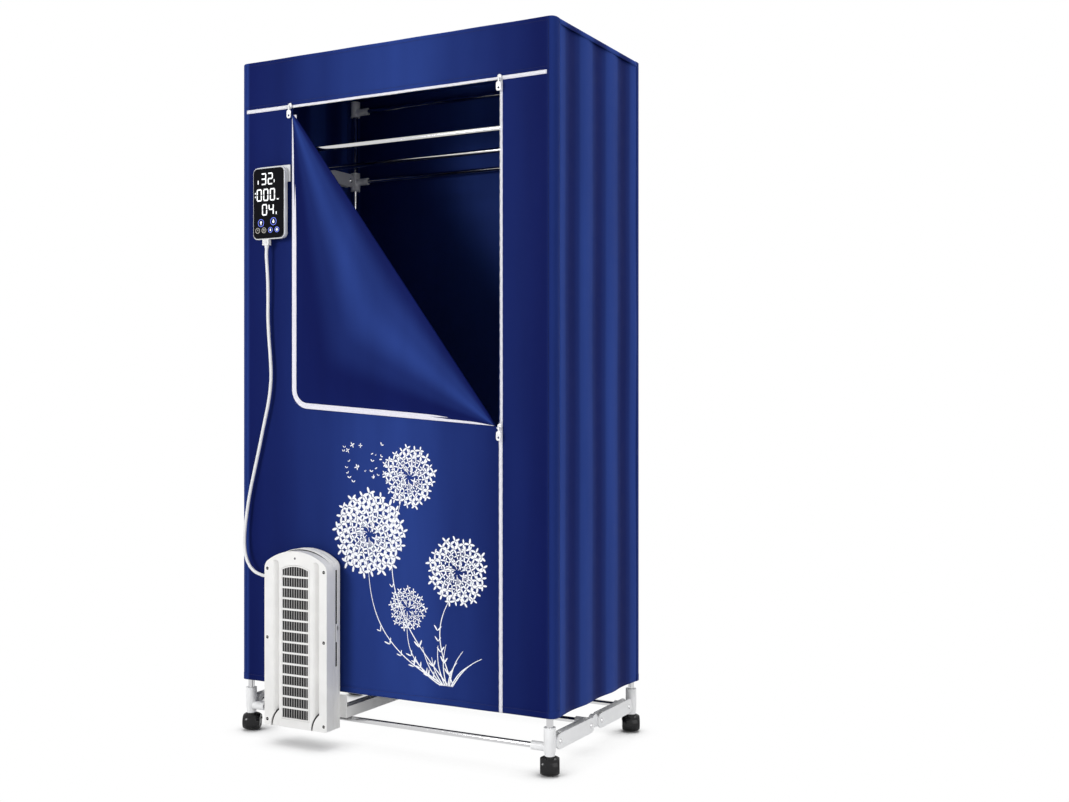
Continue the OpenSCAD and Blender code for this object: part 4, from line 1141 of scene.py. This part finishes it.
def flap_edge(t):
    """A point on the flap's free edge, from its top at 0 to its right end at 1, and its inward normal."""
    flap = settings().flap
    r = flap.corner_r
    tilt = math.atan2(-flap.rise, FLAP_RIGHT - FLAP_LEFT)
    low = FLAP_LOW + flap.rise
    up = Vector((-math.sin(tilt), math.cos(tilt)))
    centre = Vector((FLAP_LEFT + r, low + (r - r * up.x) / up.y))
    side = FLAP_TOP - centre.y
    bend = r * (math.pi / 2 + tilt)
    foot = centre - up * r
    rest = (Vector((FLAP_RIGHT, FLAP_LOW)) - foot).length
    run = t * (side + bend + rest)
    if run <= side:
        return Vector((FLAP_LEFT, FLAP_TOP - run)), Vector((1, 0))
    if run <= side + bend:
        a = math.pi + (run - side) / r
        out = Vector((math.cos(a), math.sin(a)))
        return centre + out * r, -out
    along = (run - side - bend) / rest
    return foot.lerp(Vector((FLAP_RIGHT, FLAP_LOW)), along), up


def flap_lift(b, t):
    """How far the flap stands off the front plane, from its free edge at b 0 to its fold at b 1."""
    flap = settings().flap
    swell = math.sin(math.pi * min(max(t, 0.0), 1.0)) ** 0.6
    slope = (2 * flap.roll_r - flap.rest) * smooth_step(b)
    return flap.rest + slope + flap.bulge * math.sin(math.pi * b) ** 1.3 * swell


class CABINET_OT_door_flap(Operator):
    """Add the open door's corner, folded down along the diagonal, with its white tape"""

    bl_idname = "cabinet.door_flap"
    bl_label = "Door flap"

    def execute(self, context):
        flap = settings().flap
        top, right = Vector((FLAP_LEFT, FLAP_TOP)), Vector((FLAP_RIGHT, FLAP_LOW))
        along = (right - top).normalized()
        out = Vector((-along.y, along.x))
        columns, roll, rows = 52, 10, 150
        share = columns / (columns + roll)

        def place(u, t):
            free = flap_edge(t)[0]
            fold = top.lerp(right, t)
            if u <= share:
                b = u / share
                spot = free.lerp(fold, b)
                return Vector((spot.x, FRONT - flap_lift(b, t), spot.y))
            a = math.pi * (u - share) / (1 - share)
            ends = min(1.0, math.sin(math.pi * t) * 12)
            spot = fold + out * flap.roll_r * math.sin(a) * ends
            return Vector((spot.x, FRONT - flap.roll_r * (1 + math.cos(a)), spot.y))

        made = sheet_piece(
            "flap_cloth", columns + roll, rows, place, settings().cloth.thickness, "flap_satin",
            "blue_cloth", "door_flap", flipped=True, uv=True)
        self.tape()
        return {"FINISHED"}

    def tape(self):
        """White tape round the free edges: two ribs with a groove between them."""
        flap = settings().flap
        profile = [
            (0.0, 0.0), (0.02, 1.3), (0.10, 1.9), (0.30, 1.9), (0.38, 1.2), (0.44, 0.7), (0.60, 0.7),
            (0.66, 1.2), (0.72, 1.6), (0.90, 1.6), (0.97, 1.0), (1.0, 0.0)]
        rib_h, full_reach = 0.7 * MM, 0.25

        def place(u, t):
            at = u * (len(profile) - 1)
            i = min(int(at + 1e-6), len(profile) - 2)
            (a, ha), (b, hb) = profile[i], profile[i + 1]
            across, lift = a + (b - a) * (at - i), ha + (hb - ha) * (at - i)
            spot, inward = flap_edge(0.004 + 0.994 * t)
            narrow = 1 - 0.75 * smooth_step((t - 0.955) / 0.045)
            reach = flap.tape_w * across * narrow
            point = spot + inward * reach
            stand = flap_lift(min(reach / full_reach, 1.0), t) + 0.2 * MM + lift * rib_h
            return Vector((point.x, FRONT - stand, point.y))

        sheet_piece(
            "flap_binding", len(profile) - 1, 260, place, 0.4 * MM, "tape", "white_tape", "flap_tape",
            sharp=50, flipped=True)


class CABINET_OT_zips(Operator):
    """Add the zips across the front and down the door's right side, closed and open"""

    bl_idname = "cabinet.zips"
    bl_label = "Zips"

    def execute(self, context):
        zips = settings().zips
        end = HALF_W - settings().cloth.corner_r - 3 * MM
        open_z = SLIDER_Z + 9 * MM
        closed, half = zips.closed_w, zips.half_w
        left = SLIDERS["left"].x
        runs = [
            ((-end, ZIP_Z), (left, ZIP_Z), -closed / 2, closed / 2, 0.0),
            ((left, ZIP_Z), (DOOR_X, ZIP_Z), -half / 2, half / 2, -half / 2),
            ((DOOR_X, ZIP_Z), (end, ZIP_Z), -closed / 2, closed / 2, 0.0),
            ((DOOR_X, open_z), (DOOR_X, ZIP_Z), -half, 0.0, 0.0),
            ((DOOR_X, HEM), (DOOR_X, open_z), -closed / 2, closed / 2, 0.0),
        ]
        tapes, teeth = bmesh.new(), bmesh.new()
        for run in runs:
            self.run(tapes, teeth, *run)
        made = piece("zip_tape", tapes, "tape", "white_tape", "zip_tapes", sharp=40, tidy=False)
        thicken(made, zips.tape_t)
        piece("zip_teeth", teeth, "teeth", "white_tape", tidy=False)
        self.piping()
        return {"FINISHED"}

    def run(self, tapes, teeth, start, end, low, high, row):
        """One stretch of tape from low to high across its line, with its row of teeth."""
        zips = settings().zips
        a, b = Vector(start), Vector(end)
        along = (b - a).normalized()
        side = Vector((-along.y, along.x))
        steps = max(int((b - a).length / (6 * MM)), 1)
        lift = zips.tape_t + 0.2 * MM

        def place(u, v):
            spot = a.lerp(b, u) + side * (low + (high - low) * v)
            return on_cloth(spot.x, spot.y, lift)

        sheet_mesh(tapes, steps, 2, place)

        size = (zips.tooth_pitch * 0.62, 1.1 * MM, zips.tooth_w)
        unit = unit_mesh(lambda made: block(made, (0, 0, 0), size, 0.3 * MM))
        count = int((b - a).length / zips.tooth_pitch)
        turn = Matrix.Rotation(-math.atan2(along.y, along.x), 4, "Y")
        places = []
        for i in range(count):
            spot = a.lerp(b, (i + 0.5) / count) + side * row
            places.append(Matrix.Translation(on_cloth(spot.x, spot.y, lift + 0.4 * MM)) @ turn)
        scatter(teeth, unit, places)

    def piping(self):
        """White edging round the duct window and the hanger's slot."""
        bm = bmesh.new()
        wide = 5 * MM
        for loop in window_loops(wide):
            plate(bm, [loop, drawn_in(loop, wide)], FRONT - 1.2 * MM, 2.6 * MM, 0.6 * MM)
        piece("window_edging", bm, "tape", "white_tape", "window_piping")


class CABINET_OT_sliders(Operator):
    """Add the three zip sliders and their pulls"""

    bl_idname = "cabinet.sliders"
    bl_label = "Zip sliders"

    def execute(self, context):
        for name, centre in SLIDERS.items():
            self.slider(name, centre)
            self.pull(name)
        return {"FINISHED"}

    def slider(self, name, centre):
        """A waisted plate with the ears that hold the pull."""
        lo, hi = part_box("zip_slider_" + name)
        size = settings().slider
        x, z = centre.x, (lo.z + hi.z) / 2
        body = arc(x, z + 2.2 * MM, size.top_r, 10, 170, 10)
        body += arc(x, z - 3.6 * MM, size.tail_r, 190, 350, 8)
        plate_y = hi.y - 4 * MM
        ear = Vector((1.4, 6.4, 4.0)) * MM
        bm = bmesh.new()
        plate(bm, [body], plate_y, size.plate_t, 0.9 * MM, 0.4 * MM)
        for side in (-1, 1):
            block(bm, (x + side * size.ear_x, plate_y - 2.8 * MM, z - 2 * MM), ear, 0.5 * MM)
        piece("slider_" + name, bm, "lacquer", "slider_metal", "zip_slider_" + name)

    def pull(self, name):
        """A rounded tab with a hole, hung on its pin."""
        size = settings().slider
        lo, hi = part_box("zip_pull_" + name)
        x, y = (lo.x + hi.x) / 2, (lo.y + hi.y) / 2
        pin_z = hi.z - 1.8 * MM
        neck = Vector((3.2, 1.8, 9.6)) * MM
        outline = round_box(x, lo.z + size.tab_h / 2, size.tab_w, size.tab_h, size.tab_r, 6)
        hole = disc(x, lo.z + 7 * MM, size.hole_r, 16)
        bm = bmesh.new()
        plate(bm, [outline, hole], y - size.tab_t / 2, size.tab_t, 0.5 * MM, 0.5 * MM)
        block(bm, (x, y, (pin_z + lo.z + size.tab_h) / 2 - 0.5 * MM), neck, 0.5 * MM)
        across = Matrix.Translation((x, y, pin_z)) @ Matrix.Rotation(math.pi / 2, 4, "Y")
        rod(bm, size.pin_r, size.pin_w, across, 16)
        piece("pull_" + name, bm, "lacquer", "white_plastic", "zip_pull_" + name)


def heater_spot(across, y, up):
    """A place by its distance from the heater's middle and its height over the heater's foot."""
    return Vector((HEATER_X + across, y, HEATER_LO.z + up))


class CABINET_OT_heater(Operator):
    """Add the heater's cover with its grooves, its grille, back shell, screws, lamp and latch"""

    bl_idname = "cabinet.heater"
    bl_label = "Heater"

    def execute(self, context):
        self.cover()
        self.lugs()
        self.grille()
        self.shell()
        self.fittings()
        return {"FINISHED"}

    def cover(self):
        """The front moulding: grooves pressed in on both sides and a pocket behind the grille."""
        heater = settings().heater
        w, depth, h = HEATER_HI - HEATER_LO
        outline = tower_loop(w, h, heater.shoulder_r, heater.foot_r)
        bm = bmesh.new()
        plate(bm, [outline, grille_loop(-0.5 * MM)], HEATER_LO.y, depth)
        made = piece("heater_front", bm, "heater", "white_plastic", "heater_cover")
        for side in (-1, 1):
            bm = bmesh.new()
            self.groove(bm, HEATER_X + side * heater.groove_x)
            carve(made, bm)
            cut(made, self.gap_loop(side), HEATER_LO.y - 2 * MM, HEATER_LO.y + 6 * MM)
        pocket = round_box(HEATER_X, HEATER_LO.z + 0.209, 0.092, 0.398, 0.012)
        cut(made, pocket, HEATER_LO.y + 5 * MM, HEATER_HI.y + 5 * MM)
        rounded(made, heater.edge_r, 3, 50)

    def groove(self, bm, x):
        """A groove's form: it slopes in gently from its left to a steep right wall and has a round top."""
        heater = settings().heater
        r, foot = heater.groove_w / 2, HEATER_LO.z - 12 * MM
        top = HEATER_LO.z + heater.groove_h - r

        def at(u, deep, high):
            across = r * (2 * u - 1)
            depth = heater.groove_d * smooth_step((u - 0.12) / 0.64)
            z = top + math.sqrt(max(r * r - across * across, 0.0)) if high else foot
            return Vector((x + across, HEATER_LO.y + (depth if deep else -2 * MM), z))

        for end in (0, 1):
            sheet_mesh(bm, 20, 1, lambda u, v: at(u, end, v))
            sheet_mesh(bm, 20, 1, lambda u, v: at(u, v, end))
            sheet_mesh(bm, 1, 1, lambda u, v: at(end, u, v))
        bmesh.ops.remove_doubles(bm, verts=bm.verts, dist=1e-6)

    def lug_arc(self, side, grow):
        """The left edge of a groove's lug, moved out by an amount, from its top to its foot."""
        heater = settings().heater
        wide = heater.groove_w - 2.5 * MM
        lean = math.degrees(math.acos((heater.lug_r - wide) / heater.lug_r))
        x = HEATER_X + side * heater.groove_x + heater.groove_w / 2
        foot = HEATER_LO.z + heater.lug_foot
        return arc(x + heater.lug_r - wide, foot, heater.lug_r + grow, 180 - lean, 180, 12)

    def gap_loop(self, side):
        """The gap along the left of a lug."""
        heater = settings().heater
        return self.lug_arc(side, heater.gap_w) + self.lug_arc(side, -heater.gap_in)[::-1]

    def lugs(self):
        """The quarter-round lug at the foot of each groove, and a dark plate in the gap along its left as
        painted shade.
        """
        heater = settings().heater
        lug, gap = bmesh.new(), bmesh.new()
        for side in (-1, 1):
            x = HEATER_X + side * heater.groove_x + heater.groove_w / 2
            loop = [(x, HEATER_LO.z + heater.lug_foot)] + self.lug_arc(side, 0.0)
            plate(lug, [loop], HEATER_LO.y + 0.3 * MM, heater.groove_d + MM, 1.4 * MM)
            # Dark plate inside the real gap: painted shade in the gap.
            plate(gap, [self.gap_loop(side)], HEATER_LO.y + 3.4 * MM, 5 * MM)
        piece("heater_lugs", lug, "heater", "white_plastic")
        piece("heater_gaps", gap, "dark", "fan_plastic")

    def grille(self):
        """Level bars in front of upright fins, in a frame with an arched top."""
        lo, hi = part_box("heater_grille")
        heater = settings().heater
        edge = 2 * MM
        col_w = (hi.x - lo.x - 2 * edge) / heater.columns
        row_h = (hi.z - lo.z - 2 * edge) / heater.rows
        front, depth = lo.y, hi.y - lo.y
        bm, fins = bmesh.new(), bmesh.new()
        plate(bm, [grille_loop(0.2 * MM), grille_loop(heater.frame_w)], front, depth, 0.8 * MM)
        wide = hi.x - lo.x - 6 * MM
        for row in range(1, heater.rows):
            z = lo.z + edge + row * row_h
            block(bm, (HEATER_X, front + depth / 2, z), (wide, depth, heater.bar_h), 0.9 * MM)
        for col in range(1, heater.columns):
            x = lo.x + edge + col * col_w
            top = grille_top(x - HEATER_X) - 2.5 * MM
            foot = lo.z + 2 * MM
            size = (heater.fin_w, heater.fin_d, top - foot)
            block(fins, (x, front + 1.9 * MM, (foot + top) / 2), size, 0.5 * MM)
        piece("heater_front_grille", bm, "grille", "white_plastic", "heater_grille", sharp=30)
        # The fins take a grey finish as painted shade.
        piece("heater_grille_fins", fins, "fins", "white_plastic", sharp=30)
        # A dark plate behind the slots: painted shade, so that the slots read dark.
        bm = bmesh.new()
        plate(bm, [grille_loop(1.5 * MM)], hi.y + 1.6 * MM, 1.2 * MM)
        piece("heater_dust_screen", bm, "dark", "fan_plastic")

    def shell(self):
        """The deeper back moulding with raised lines round its arch."""
        softened("heater_shell", "heater_back", 1.2 * MM, 3)
        heater = settings().heater
        loop = tower_loop(heater.shell_w, heater.shell_h, heater.shell_r)
        line = [drawn_in(loop, -0.8 * MM), drawn_in(loop, 2 * MM)]
        bm = bmesh.new()
        for y in (5, 12, 25):
            plate(bm, line, HEATER_HI.y + y * MM, 1.8 * MM, 0.5 * MM, 0.5 * MM)
        piece("shell_lines", bm, "heater", "white_plastic")
        bm = bmesh.new()
        # Dark band round the joint between cover and shell, and dark strips in the slits on both sides:
        # painted shade in these gaps.
        plate(bm, [drawn_in(loop, 1.2 * MM), drawn_in(loop, 5 * MM)], HEATER_HI.y + 0.3 * MM, 2.6 * MM)
        slit_shade = (1.2 * MM, 5.4 * MM, 0.233)
        for side in (-1, 1):
            block(bm, heater_spot(side * 0.0886, HEATER_HI.y + 21 * MM, 0.2675), slit_shade, 0.2 * MM)
        piece("shell_joints", bm, "dark", "fan_plastic")
        softened("heater_support", "heater_bar", 1.6 * MM, 3)

    def fittings(self):
        """Screws with slotted heads, the bush, the knob, the lamp over the grille and the latch."""
        softened("cover_screws", "heater_screws", 0.3 * MM, slot="motor_metal", look="screw")
        softened("cable_bush", "mains_inlet", 0.5 * MM, look="dark")
        softened("knob", "heater_hook", 0.8 * MM)
        lo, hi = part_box("heater_screws")
        heater = settings().heater
        left, right, low, high = (
            lo.x + heater.screw_r, hi.x - heater.screw_r, lo.z + heater.screw_r, hi.z - heater.screw_r)
        bm = bmesh.new()
        for x in (left, right):
            for z in (low, (HEATER_LO.z + HEATER_HI.z) / 2, high):
                for start in (8, 188):
                    half = arc(x, z, heater.head_r, start, start + 164, 14)
                    plate(bm, [half], HEATER_LO.y - 0.25 * MM, MM, 0.2 * MM)
        piece("screw_heads", bm, "screw", "motor_metal")
        bm = bmesh.new()
        ball(bm, heater_spot(-MM, HEATER_LO.y + 0.9 * MM, 0.4115), heater.lamp_r, (1, 0.5, 1))
        piece("lamp", bm, "lamp", "fan_plastic")
        bm = bmesh.new()
        for z, w, h in ((0.232, 10, 44), (0.243, 6, 12)):
            spot = heater_spot(0.0895, HEATER_BACK.y - 12 * MM, z)
            block(bm, spot, (3.2 * MM, w * MM, h * MM), 0.9 * MM)
        piece("shell_latch", bm, "heater", "white_plastic")


# Lines of figures on the display: text, middle from the left of the face, middle below its top, height
READOUTS = (("32", 43.6, 26.5, 29.7), ("000", 40.0, 66.3, 30.8), ("04", 46.5, 103.4, 28.6))
# Which of its seven bars light for each figure: top, upper left, upper right, middle, lower left,
# lower right, foot
BARS = {
    "0": (1, 1, 1, 0, 1, 1, 1),
    "2": (1, 0, 1, 1, 1, 0, 1),
    "3": (1, 0, 1, 1, 0, 1, 1),
    "4": (0, 1, 1, 1, 0, 1, 0),
}
# Small lit bars beside the figures: middle from the left of the face and below its top, width, height
TICKS = (
    (15.5, 34, 2.6, 10), (66.5, 33, 2.2, 8), (6.5, 61, 2.4, 4), (6.5, 70, 2.4, 4), (78.0, 79, 6.0, 3),
    (73.0, 113, 2.6, 7),
)
# Touch keys: middle from the left of the face and below its top, radius, finish, symbol
KEYS = (
    (24.5, 135.8, 9.6, "key", "bulb"),
    (64.0, 133.7, 9.6, "key", "drop"),
    (13.8, 154.5, 7.0, "mark", "clock"),
    (34.0, 154.5, 7.0, "mark", "bars"),
    (54.5, 154.5, 7.0, "key", "drop"),
    (74.9, 154.5, 7.0, "key", "fan"),
)


class CABINET_OT_controller(Operator):
    """Add the controller's case, its black display window, its figures and its touch keys"""

    bl_idname = "cabinet.controller"
    bl_label = "Controller"

    def execute(self, context):
        size = settings().controller
        softened("control_case", "controller_case", size.edge_r, 3)
        softened("control_window", "controller_face", 1.2 * MM, 3)
        softened("control_bracket", "controller_hanger", 0.8 * MM)
        figures, keys, marks = bmesh.new(), bmesh.new(), bmesh.new()
        for readout in READOUTS:
            self.readout(figures, *readout)
        for tick in TICKS:
            self.bar(figures, *tick)
        for x, down, r, look, symbol in KEYS:
            ring_bm, symbol_bm = (keys, figures) if look == "key" else (marks, marks)
            self.key(ring_bm, symbol_bm, x, down, r, symbol)
        piece("figures", figures, "figure", "cord_white")
        piece("touch_keys", keys, "key", "blue_cloth")
        piece("dim_keys", marks, "mark", "cord_white")
        return {"FINISHED"}

    def spot(self, x, down):
        """A place on the face in metres from millimetres right of its left edge and below its top."""
        return FACE_LO.x + x * MM, FACE_HI.z - down * MM

    def bar(self, bm, x, down, w, h, turn=0.0):
        """A lit bar, by the middle of its place."""
        px, pz = self.spot(x, down)
        matrix = Matrix.Rotation(math.radians(turn), 4, "Y")
        block(bm, (px, FACE_LO.y - 0.15 * MM, pz), (w * MM, 0.3 * MM, h * MM), 0.12 * MM, matrix)

    def readout(self, bm, text, x, down, height):
        """Seven-bar figures in a row."""
        size = settings().controller
        w, gap, t = size.figure_w / MM, size.figure_gap / MM, size.bar_w / MM
        start = x - (len(text) * w + (len(text) - 1) * gap) / 2 + w / 2
        far, end, quarter = (w - t) / 2, (height - t) / 2, (height - t) / 4
        level = (w - 1.2 * t, t)
        upright = (t, 2 * quarter - 0.5 * t)
        places = (
            (0, -end, level), (-far, -quarter, upright), (far, -quarter, upright), (0, 0, level),
            (-far, quarter, upright), (far, quarter, upright), (0, end, level))
        for i, letter in enumerate(text):
            cx = start + i * (w + gap)
            for lit_bar, (dx, dz, shape) in zip(BARS[letter], places):
                if lit_bar:
                    self.bar(bm, cx + dx, down + dz, *shape)

    def key(self, ring_bm, symbol_bm, x, down, r, symbol):
        """A ring with a small symbol inside it."""
        px, pz = self.spot(x, down)
        unit, front, raised = r * MM, FACE_LO.y - 0.3 * MM, 0.35 * MM
        ring = [disc(px, pz, unit, 32), disc(px, pz, unit - 1.3 * MM, 32)]
        plate(ring_bm, ring, front, raised, 0.1 * MM)
        if symbol == "drop":
            loop = arc(px, pz - 0.1 * unit, 0.34 * unit, 150, 390, 12) + [(px, pz + 0.6 * unit)]
            plate(symbol_bm, [loop], front, raised)
        elif symbol == "bulb":
            plate(symbol_bm, [disc(px, pz + 0.15 * unit, 0.34 * unit, 16)], front, raised)
            self.bar(symbol_bm, x, down + 0.4 * r, 0.3 * r, 0.3 * r)
        elif symbol == "clock":
            self.bar(symbol_bm, x, down - 0.25 * r, 1.0, 0.6 * r)
            self.bar(symbol_bm, x + 0.22 * r, down, 0.55 * r, 1.0)
        elif symbol == "bars":
            for i in (-1, 0, 1):
                self.bar(symbol_bm, x, down + 0.32 * i * r, (0.95 - 0.2 * i) * r, 1.0)
        else:
            for i in range(4):
                self.bar(symbol_bm, x, down, 1.1, 1.15 * r, 45 * i)


# Share by which a caster is narrower at its ends than in its middle
DRAWN_IN = 0.24


class CABINET_OT_frame_mouldings(Operator):
    """Add the feet, brackets, folding arms, blocks and casters with rounded edges"""

    bl_idname = "cabinet.frame_mouldings"
    bl_label = "Frame mouldings"

    def execute(self, context):
        edge = settings().frame.edge_r
        for node in (
                "rear_feet", "rear_brackets", "front_feet", "front_brackets", "lower_mid_blocks",
                "upper_mid_blocks", "lower_rear_arms", "lower_front_arms", "upper_rear_arms",
                "upper_front_arms"):
            softened(node + "_moulding", node, edge)
        turn = math.radians(settings().frame.caster_turn)
        axle = Vector((math.cos(turn), math.sin(turn), 0))
        for corner in ("front_left", "front_right", "rear_left", "rear_right"):
            hub = middle("caster_wheels_" + corner)

            def rounder(bm):
                barrelled(bm, hub, axle, settings().frame.caster_w / 2, DRAWN_IN)

            softened("hood_" + corner, "caster_fork_" + corner, 1.2 * MM, 3, 40, shape=rounder)
            softened("wheel_" + corner, "caster_wheels_" + corner, 0.8 * MM, 2, 40, shape=rounder)
        return {"FINISHED"}


# Turn from one floret of a head to the next
SPIRAL = math.radians(137.5)
# Flower heads of the print: middle from the cabinet's middle, height, radius, and the foot of the stem
HEADS = (
    (62, 662, 70, 168, 182), (-52, 522, 98, 156, 180), (196, 446, 76, 184, 182), (58, 350, 50, 148, 184),
)


def petal_matrix(x, z, turn, size, middle_at, slim):
    """Brings a circle to a petal's place and shape: its middle and half width as shares of its size."""
    shape = Matrix.Translation((size * middle_at, 0, 0)) @ Matrix.Diagonal((size * 0.5, size * slim, 1, 1))
    upright = Matrix.Rotation(-turn, 4, "Y") @ Matrix.Rotation(math.pi / 2, 4, "X")
    return Matrix.Translation((x, 0, z)) @ upright @ shape


class CABINET_OT_flower_print(Operator):
    """Add the white print of round flower heads on thin stems, with petals drifting off"""

    bl_idname = "cabinet.flower_print"
    bl_label = "Print"

    def execute(self, context):
        chance = random.Random(11)
        bm = bmesh.new()

        petal = unit_mesh(
            lambda made: bmesh.ops.create_circle(made, cap_ends=True, segments=8, radius=1.0))
        for x, z, r, foot_x, foot_z in HEADS:
            self.head(bm, petal, chance, x, z, r)
            self.stem(bm, (foot_x, foot_z), (x + 0.16 * r, z - 0.55 * r), 0.22)
            self.leaves(bm, petal, (foot_x, foot_z), (x, z - 0.55 * r), chance)
        for i in range(9):
            lean = -34 + 9 * i + chance.uniform(-2, 2)
            foot = 150 + 4 * i
            self.stem(bm, (foot, 178), (foot + 2.1 * lean, 178 + chance.uniform(50, 96)), 0.10)
        for i in range(30):
            x, z = chance.uniform(-118, 40), chance.uniform(560, 745)
            if z < 640 and x > -110:
                z += 100
            self.floret(
                bm, petal, x - 0.12 * (z - 560), z, chance.uniform(4.0, 8.5), chance.uniform(0, 90),
                chance.choice((1, 2, 2, 4)))
        for v in bm.verts:
            v.co = on_cloth(v.co.x, v.co.z, settings().motif.lift)
        piece("flower_print", bm, "ink", "white_tape", tidy=False)
        return {"FINISHED"}

    def floret(self, bm, petal, x, z, size, turn, petals=4):
        """Pointed petals round one point, in millimetres and degrees."""
        turns = [math.radians(turn + 90 * i) for i in range(petals)]
        scatter(bm, petal, [petal_matrix(x * MM, z * MM, a, size * MM, 0.55, 0.2) for a in turns])

    def head(self, bm, petal, chance, x, z, r):
        """Florets set in a spiral, smaller towards the middle, with fine stalks between them."""
        count = int(r * 1.15)
        for i in range(3, count):
            far = r * math.sqrt((i + 0.5) / count)
            a = i * SPIRAL
            size = r * (0.085 + 0.075 * far / r) * chance.uniform(0.85, 1.15)
            hub, way = Vector((x, z)), Vector((math.cos(a), math.sin(a))) * far
            self.floret(bm, petal, *(hub + way), size, math.degrees(a) + 20)
            if i % 3 == 0:
                self.stem(bm, hub + 0.25 * way, hub + way, 0.04, 0.4)

    def stem(self, bm, start, end, bow, share=1.0):
        """A thin tapering line with a bow, in millimetres."""
        a, b = Vector(start) * MM, Vector(end) * MM
        side = Vector((-(b - a).y, (b - a).x))
        width = settings().motif.line * share

        def place(u, v):
            spot = a.lerp(b, u) + side * bow * math.sin(math.pi * u * 0.9)
            across = side.normalized() * width * (1 - 0.6 * u) * (v - 0.5)
            return Vector((spot.x + across.x, 0, spot.y + across.y))

        sheet_mesh(bm, max(int((b - a).length / (8 * MM)), 2), 1, place)

    def leaves(self, bm, petal, start, end, chance):
        """Slim leaves in pairs up the lower part of a stem."""
        a, b = Vector(start), Vector(end)
        side = Vector((-(b - a).y, (b - a).x))
        for i in range(5):
            u = 0.10 + 0.11 * i
            spot = (a.lerp(b, u) + side * 0.22 * math.sin(math.pi * u * 0.9)) * MM
            for hand in (-1, 1):
                size = chance.uniform(15, 23) * MM * (1 - 0.5 * u)
                turn = math.atan2((b - a).y, (b - a).x) + hand * math.radians(38 + chance.uniform(-6, 6))
                scatter(bm, petal, [petal_matrix(spot.x, spot.y, turn, size, 0.5, 0.11)])


FLOOR_HALF = 14.0
# Soft boxes: name, place, height aimed at on the cabinet's middle line, and side
LIGHTS = (
    ("key", (-1.4, -4.1, 2.1), 0.8, 1.4),
    ("fill", (3.4, -1.8, 1.5), 0.7, 2.8),
    ("overhead", (0.3, 0.5, 3.9), 0.0, 3.0),
)


class CABINET_OT_studio(Operator):
    """Add the pale floor and soft studio lights"""

    bl_idname = "cabinet.studio"
    bl_label = "Studio"

    def execute(self, context):
        studio = settings().studio
        scene = context.scene
        scene.view_settings.view_transform = "Standard"
        bm = bmesh.new()
        bmesh.ops.create_grid(bm, x_segments=8, y_segments=8, size=FLOOR_HALF)
        mesh = mesh_of(bm, "floor")
        mesh.materials.append(finish("floor"))
        floor = added("floor", mesh)
        for name, place, aim, size in LIGHTS:
            self.light(name, place, aim, size, getattr(studio, name))
        self.world(scene, studio.world)
        return {"FINISHED"}

    def light(self, name, place, aim, size, power):
        """A square soft box."""
        lamp = bpy.data.lights.new(name, "AREA")
        lamp.energy = power
        lamp.size = size
        made = added(name, lamp)
        made.location = place
        ahead = Vector((0, 0, aim)) - Vector(place)
        made.rotation_euler = ahead.to_track_quat("-Z", "Y").to_euler()

    def world(self, scene, strength):
        """White to the camera, to gloss and through glass, and a plain grey light elsewhere."""
        world = bpy.data.worlds.new("studio")
        scene.world = world
        world.use_nodes = True
        tree = world.node_tree
        white = (1, 1, 1)
        around = tree.nodes["Background"]
        feed(tree, around.inputs["Color"], white)
        feed(tree, around.inputs["Strength"], strength)
        shown = new_node(tree, "ShaderNodeBackground", {"Color": white, "Strength": 1.0})
        sockets = {0: straight_rays(tree), 1: around.outputs[0], 2: shown.outputs[0]}
        mixed = new_node(tree, "ShaderNodeMixShader", sockets)
        tree.links.new(mixed.outputs[0], tree.nodes["World Output"].inputs["Surface"])


class CABINET_OT_bare_nodes(Operator):
    """Give the frame's own tubes and other parts that stay as they are their finish"""

    bl_idname = "cabinet.bare_nodes"
    bl_label = "Tubes and inner parts"

    def execute(self, context):
        for name, node in FRAME["nodes"].items():
            node.data.materials.clear()
            node.data.materials.append(finish(LOOKS[SLOTS[name]]))
        return {"FINISHED"}


class CABINET_PT_panel(Panel):
    """The cabinet's pieces, one button each"""

    bl_label = "Drying cabinet"
    bl_idname = "CABINET_PT_panel"
    bl_space_type = "VIEW_3D"
    bl_region_type = "UI"
    bl_category = "Cabinet"

    def draw(self, context):
        for step in STEPS:
            self.layout.operator(step.bl_idname)


STEPS = (
    CABINET_OT_camera,
    CABINET_OT_control_cord,
    CABINET_OT_bare_nodes,
    CABINET_OT_cover_cloth,
    CABINET_OT_side_cloth,
    CABINET_OT_hems,
    CABINET_OT_door_flap,
    CABINET_OT_zips,
    CABINET_OT_sliders,
    CABINET_OT_flower_print,
    CABINET_OT_heater,
    CABINET_OT_controller,
    CABINET_OT_frame_mouldings,
    CABINET_OT_studio,
)
GROUPS = (
    ClothSettings,
    FlapSettings,
    ZipSettings,
    SliderSettings,
    PrintSettings,
    HeaterSettings,
    ControllerSettings,
    FrameSettings,
    CordSettings,
    StudioSettings,
    CabinetSettings,
)


def register():
    for made in GROUPS + STEPS + (CABINET_PT_panel,):
        bpy.utils.register_class(made)
    bpy.types.Scene.cabinet = PointerProperty(type=CabinetSettings)


def unregister():
    del bpy.types.Scene.cabinet
    for made in reversed(GROUPS + STEPS + (CABINET_PT_panel,)):
        bpy.utils.unregister_class(made)


def main():
    register()
    for step in STEPS:
        group, name = step.bl_idname.split(".")
        getattr(getattr(bpy.ops, group), name)()


if __name__ == "__main__":
    main()
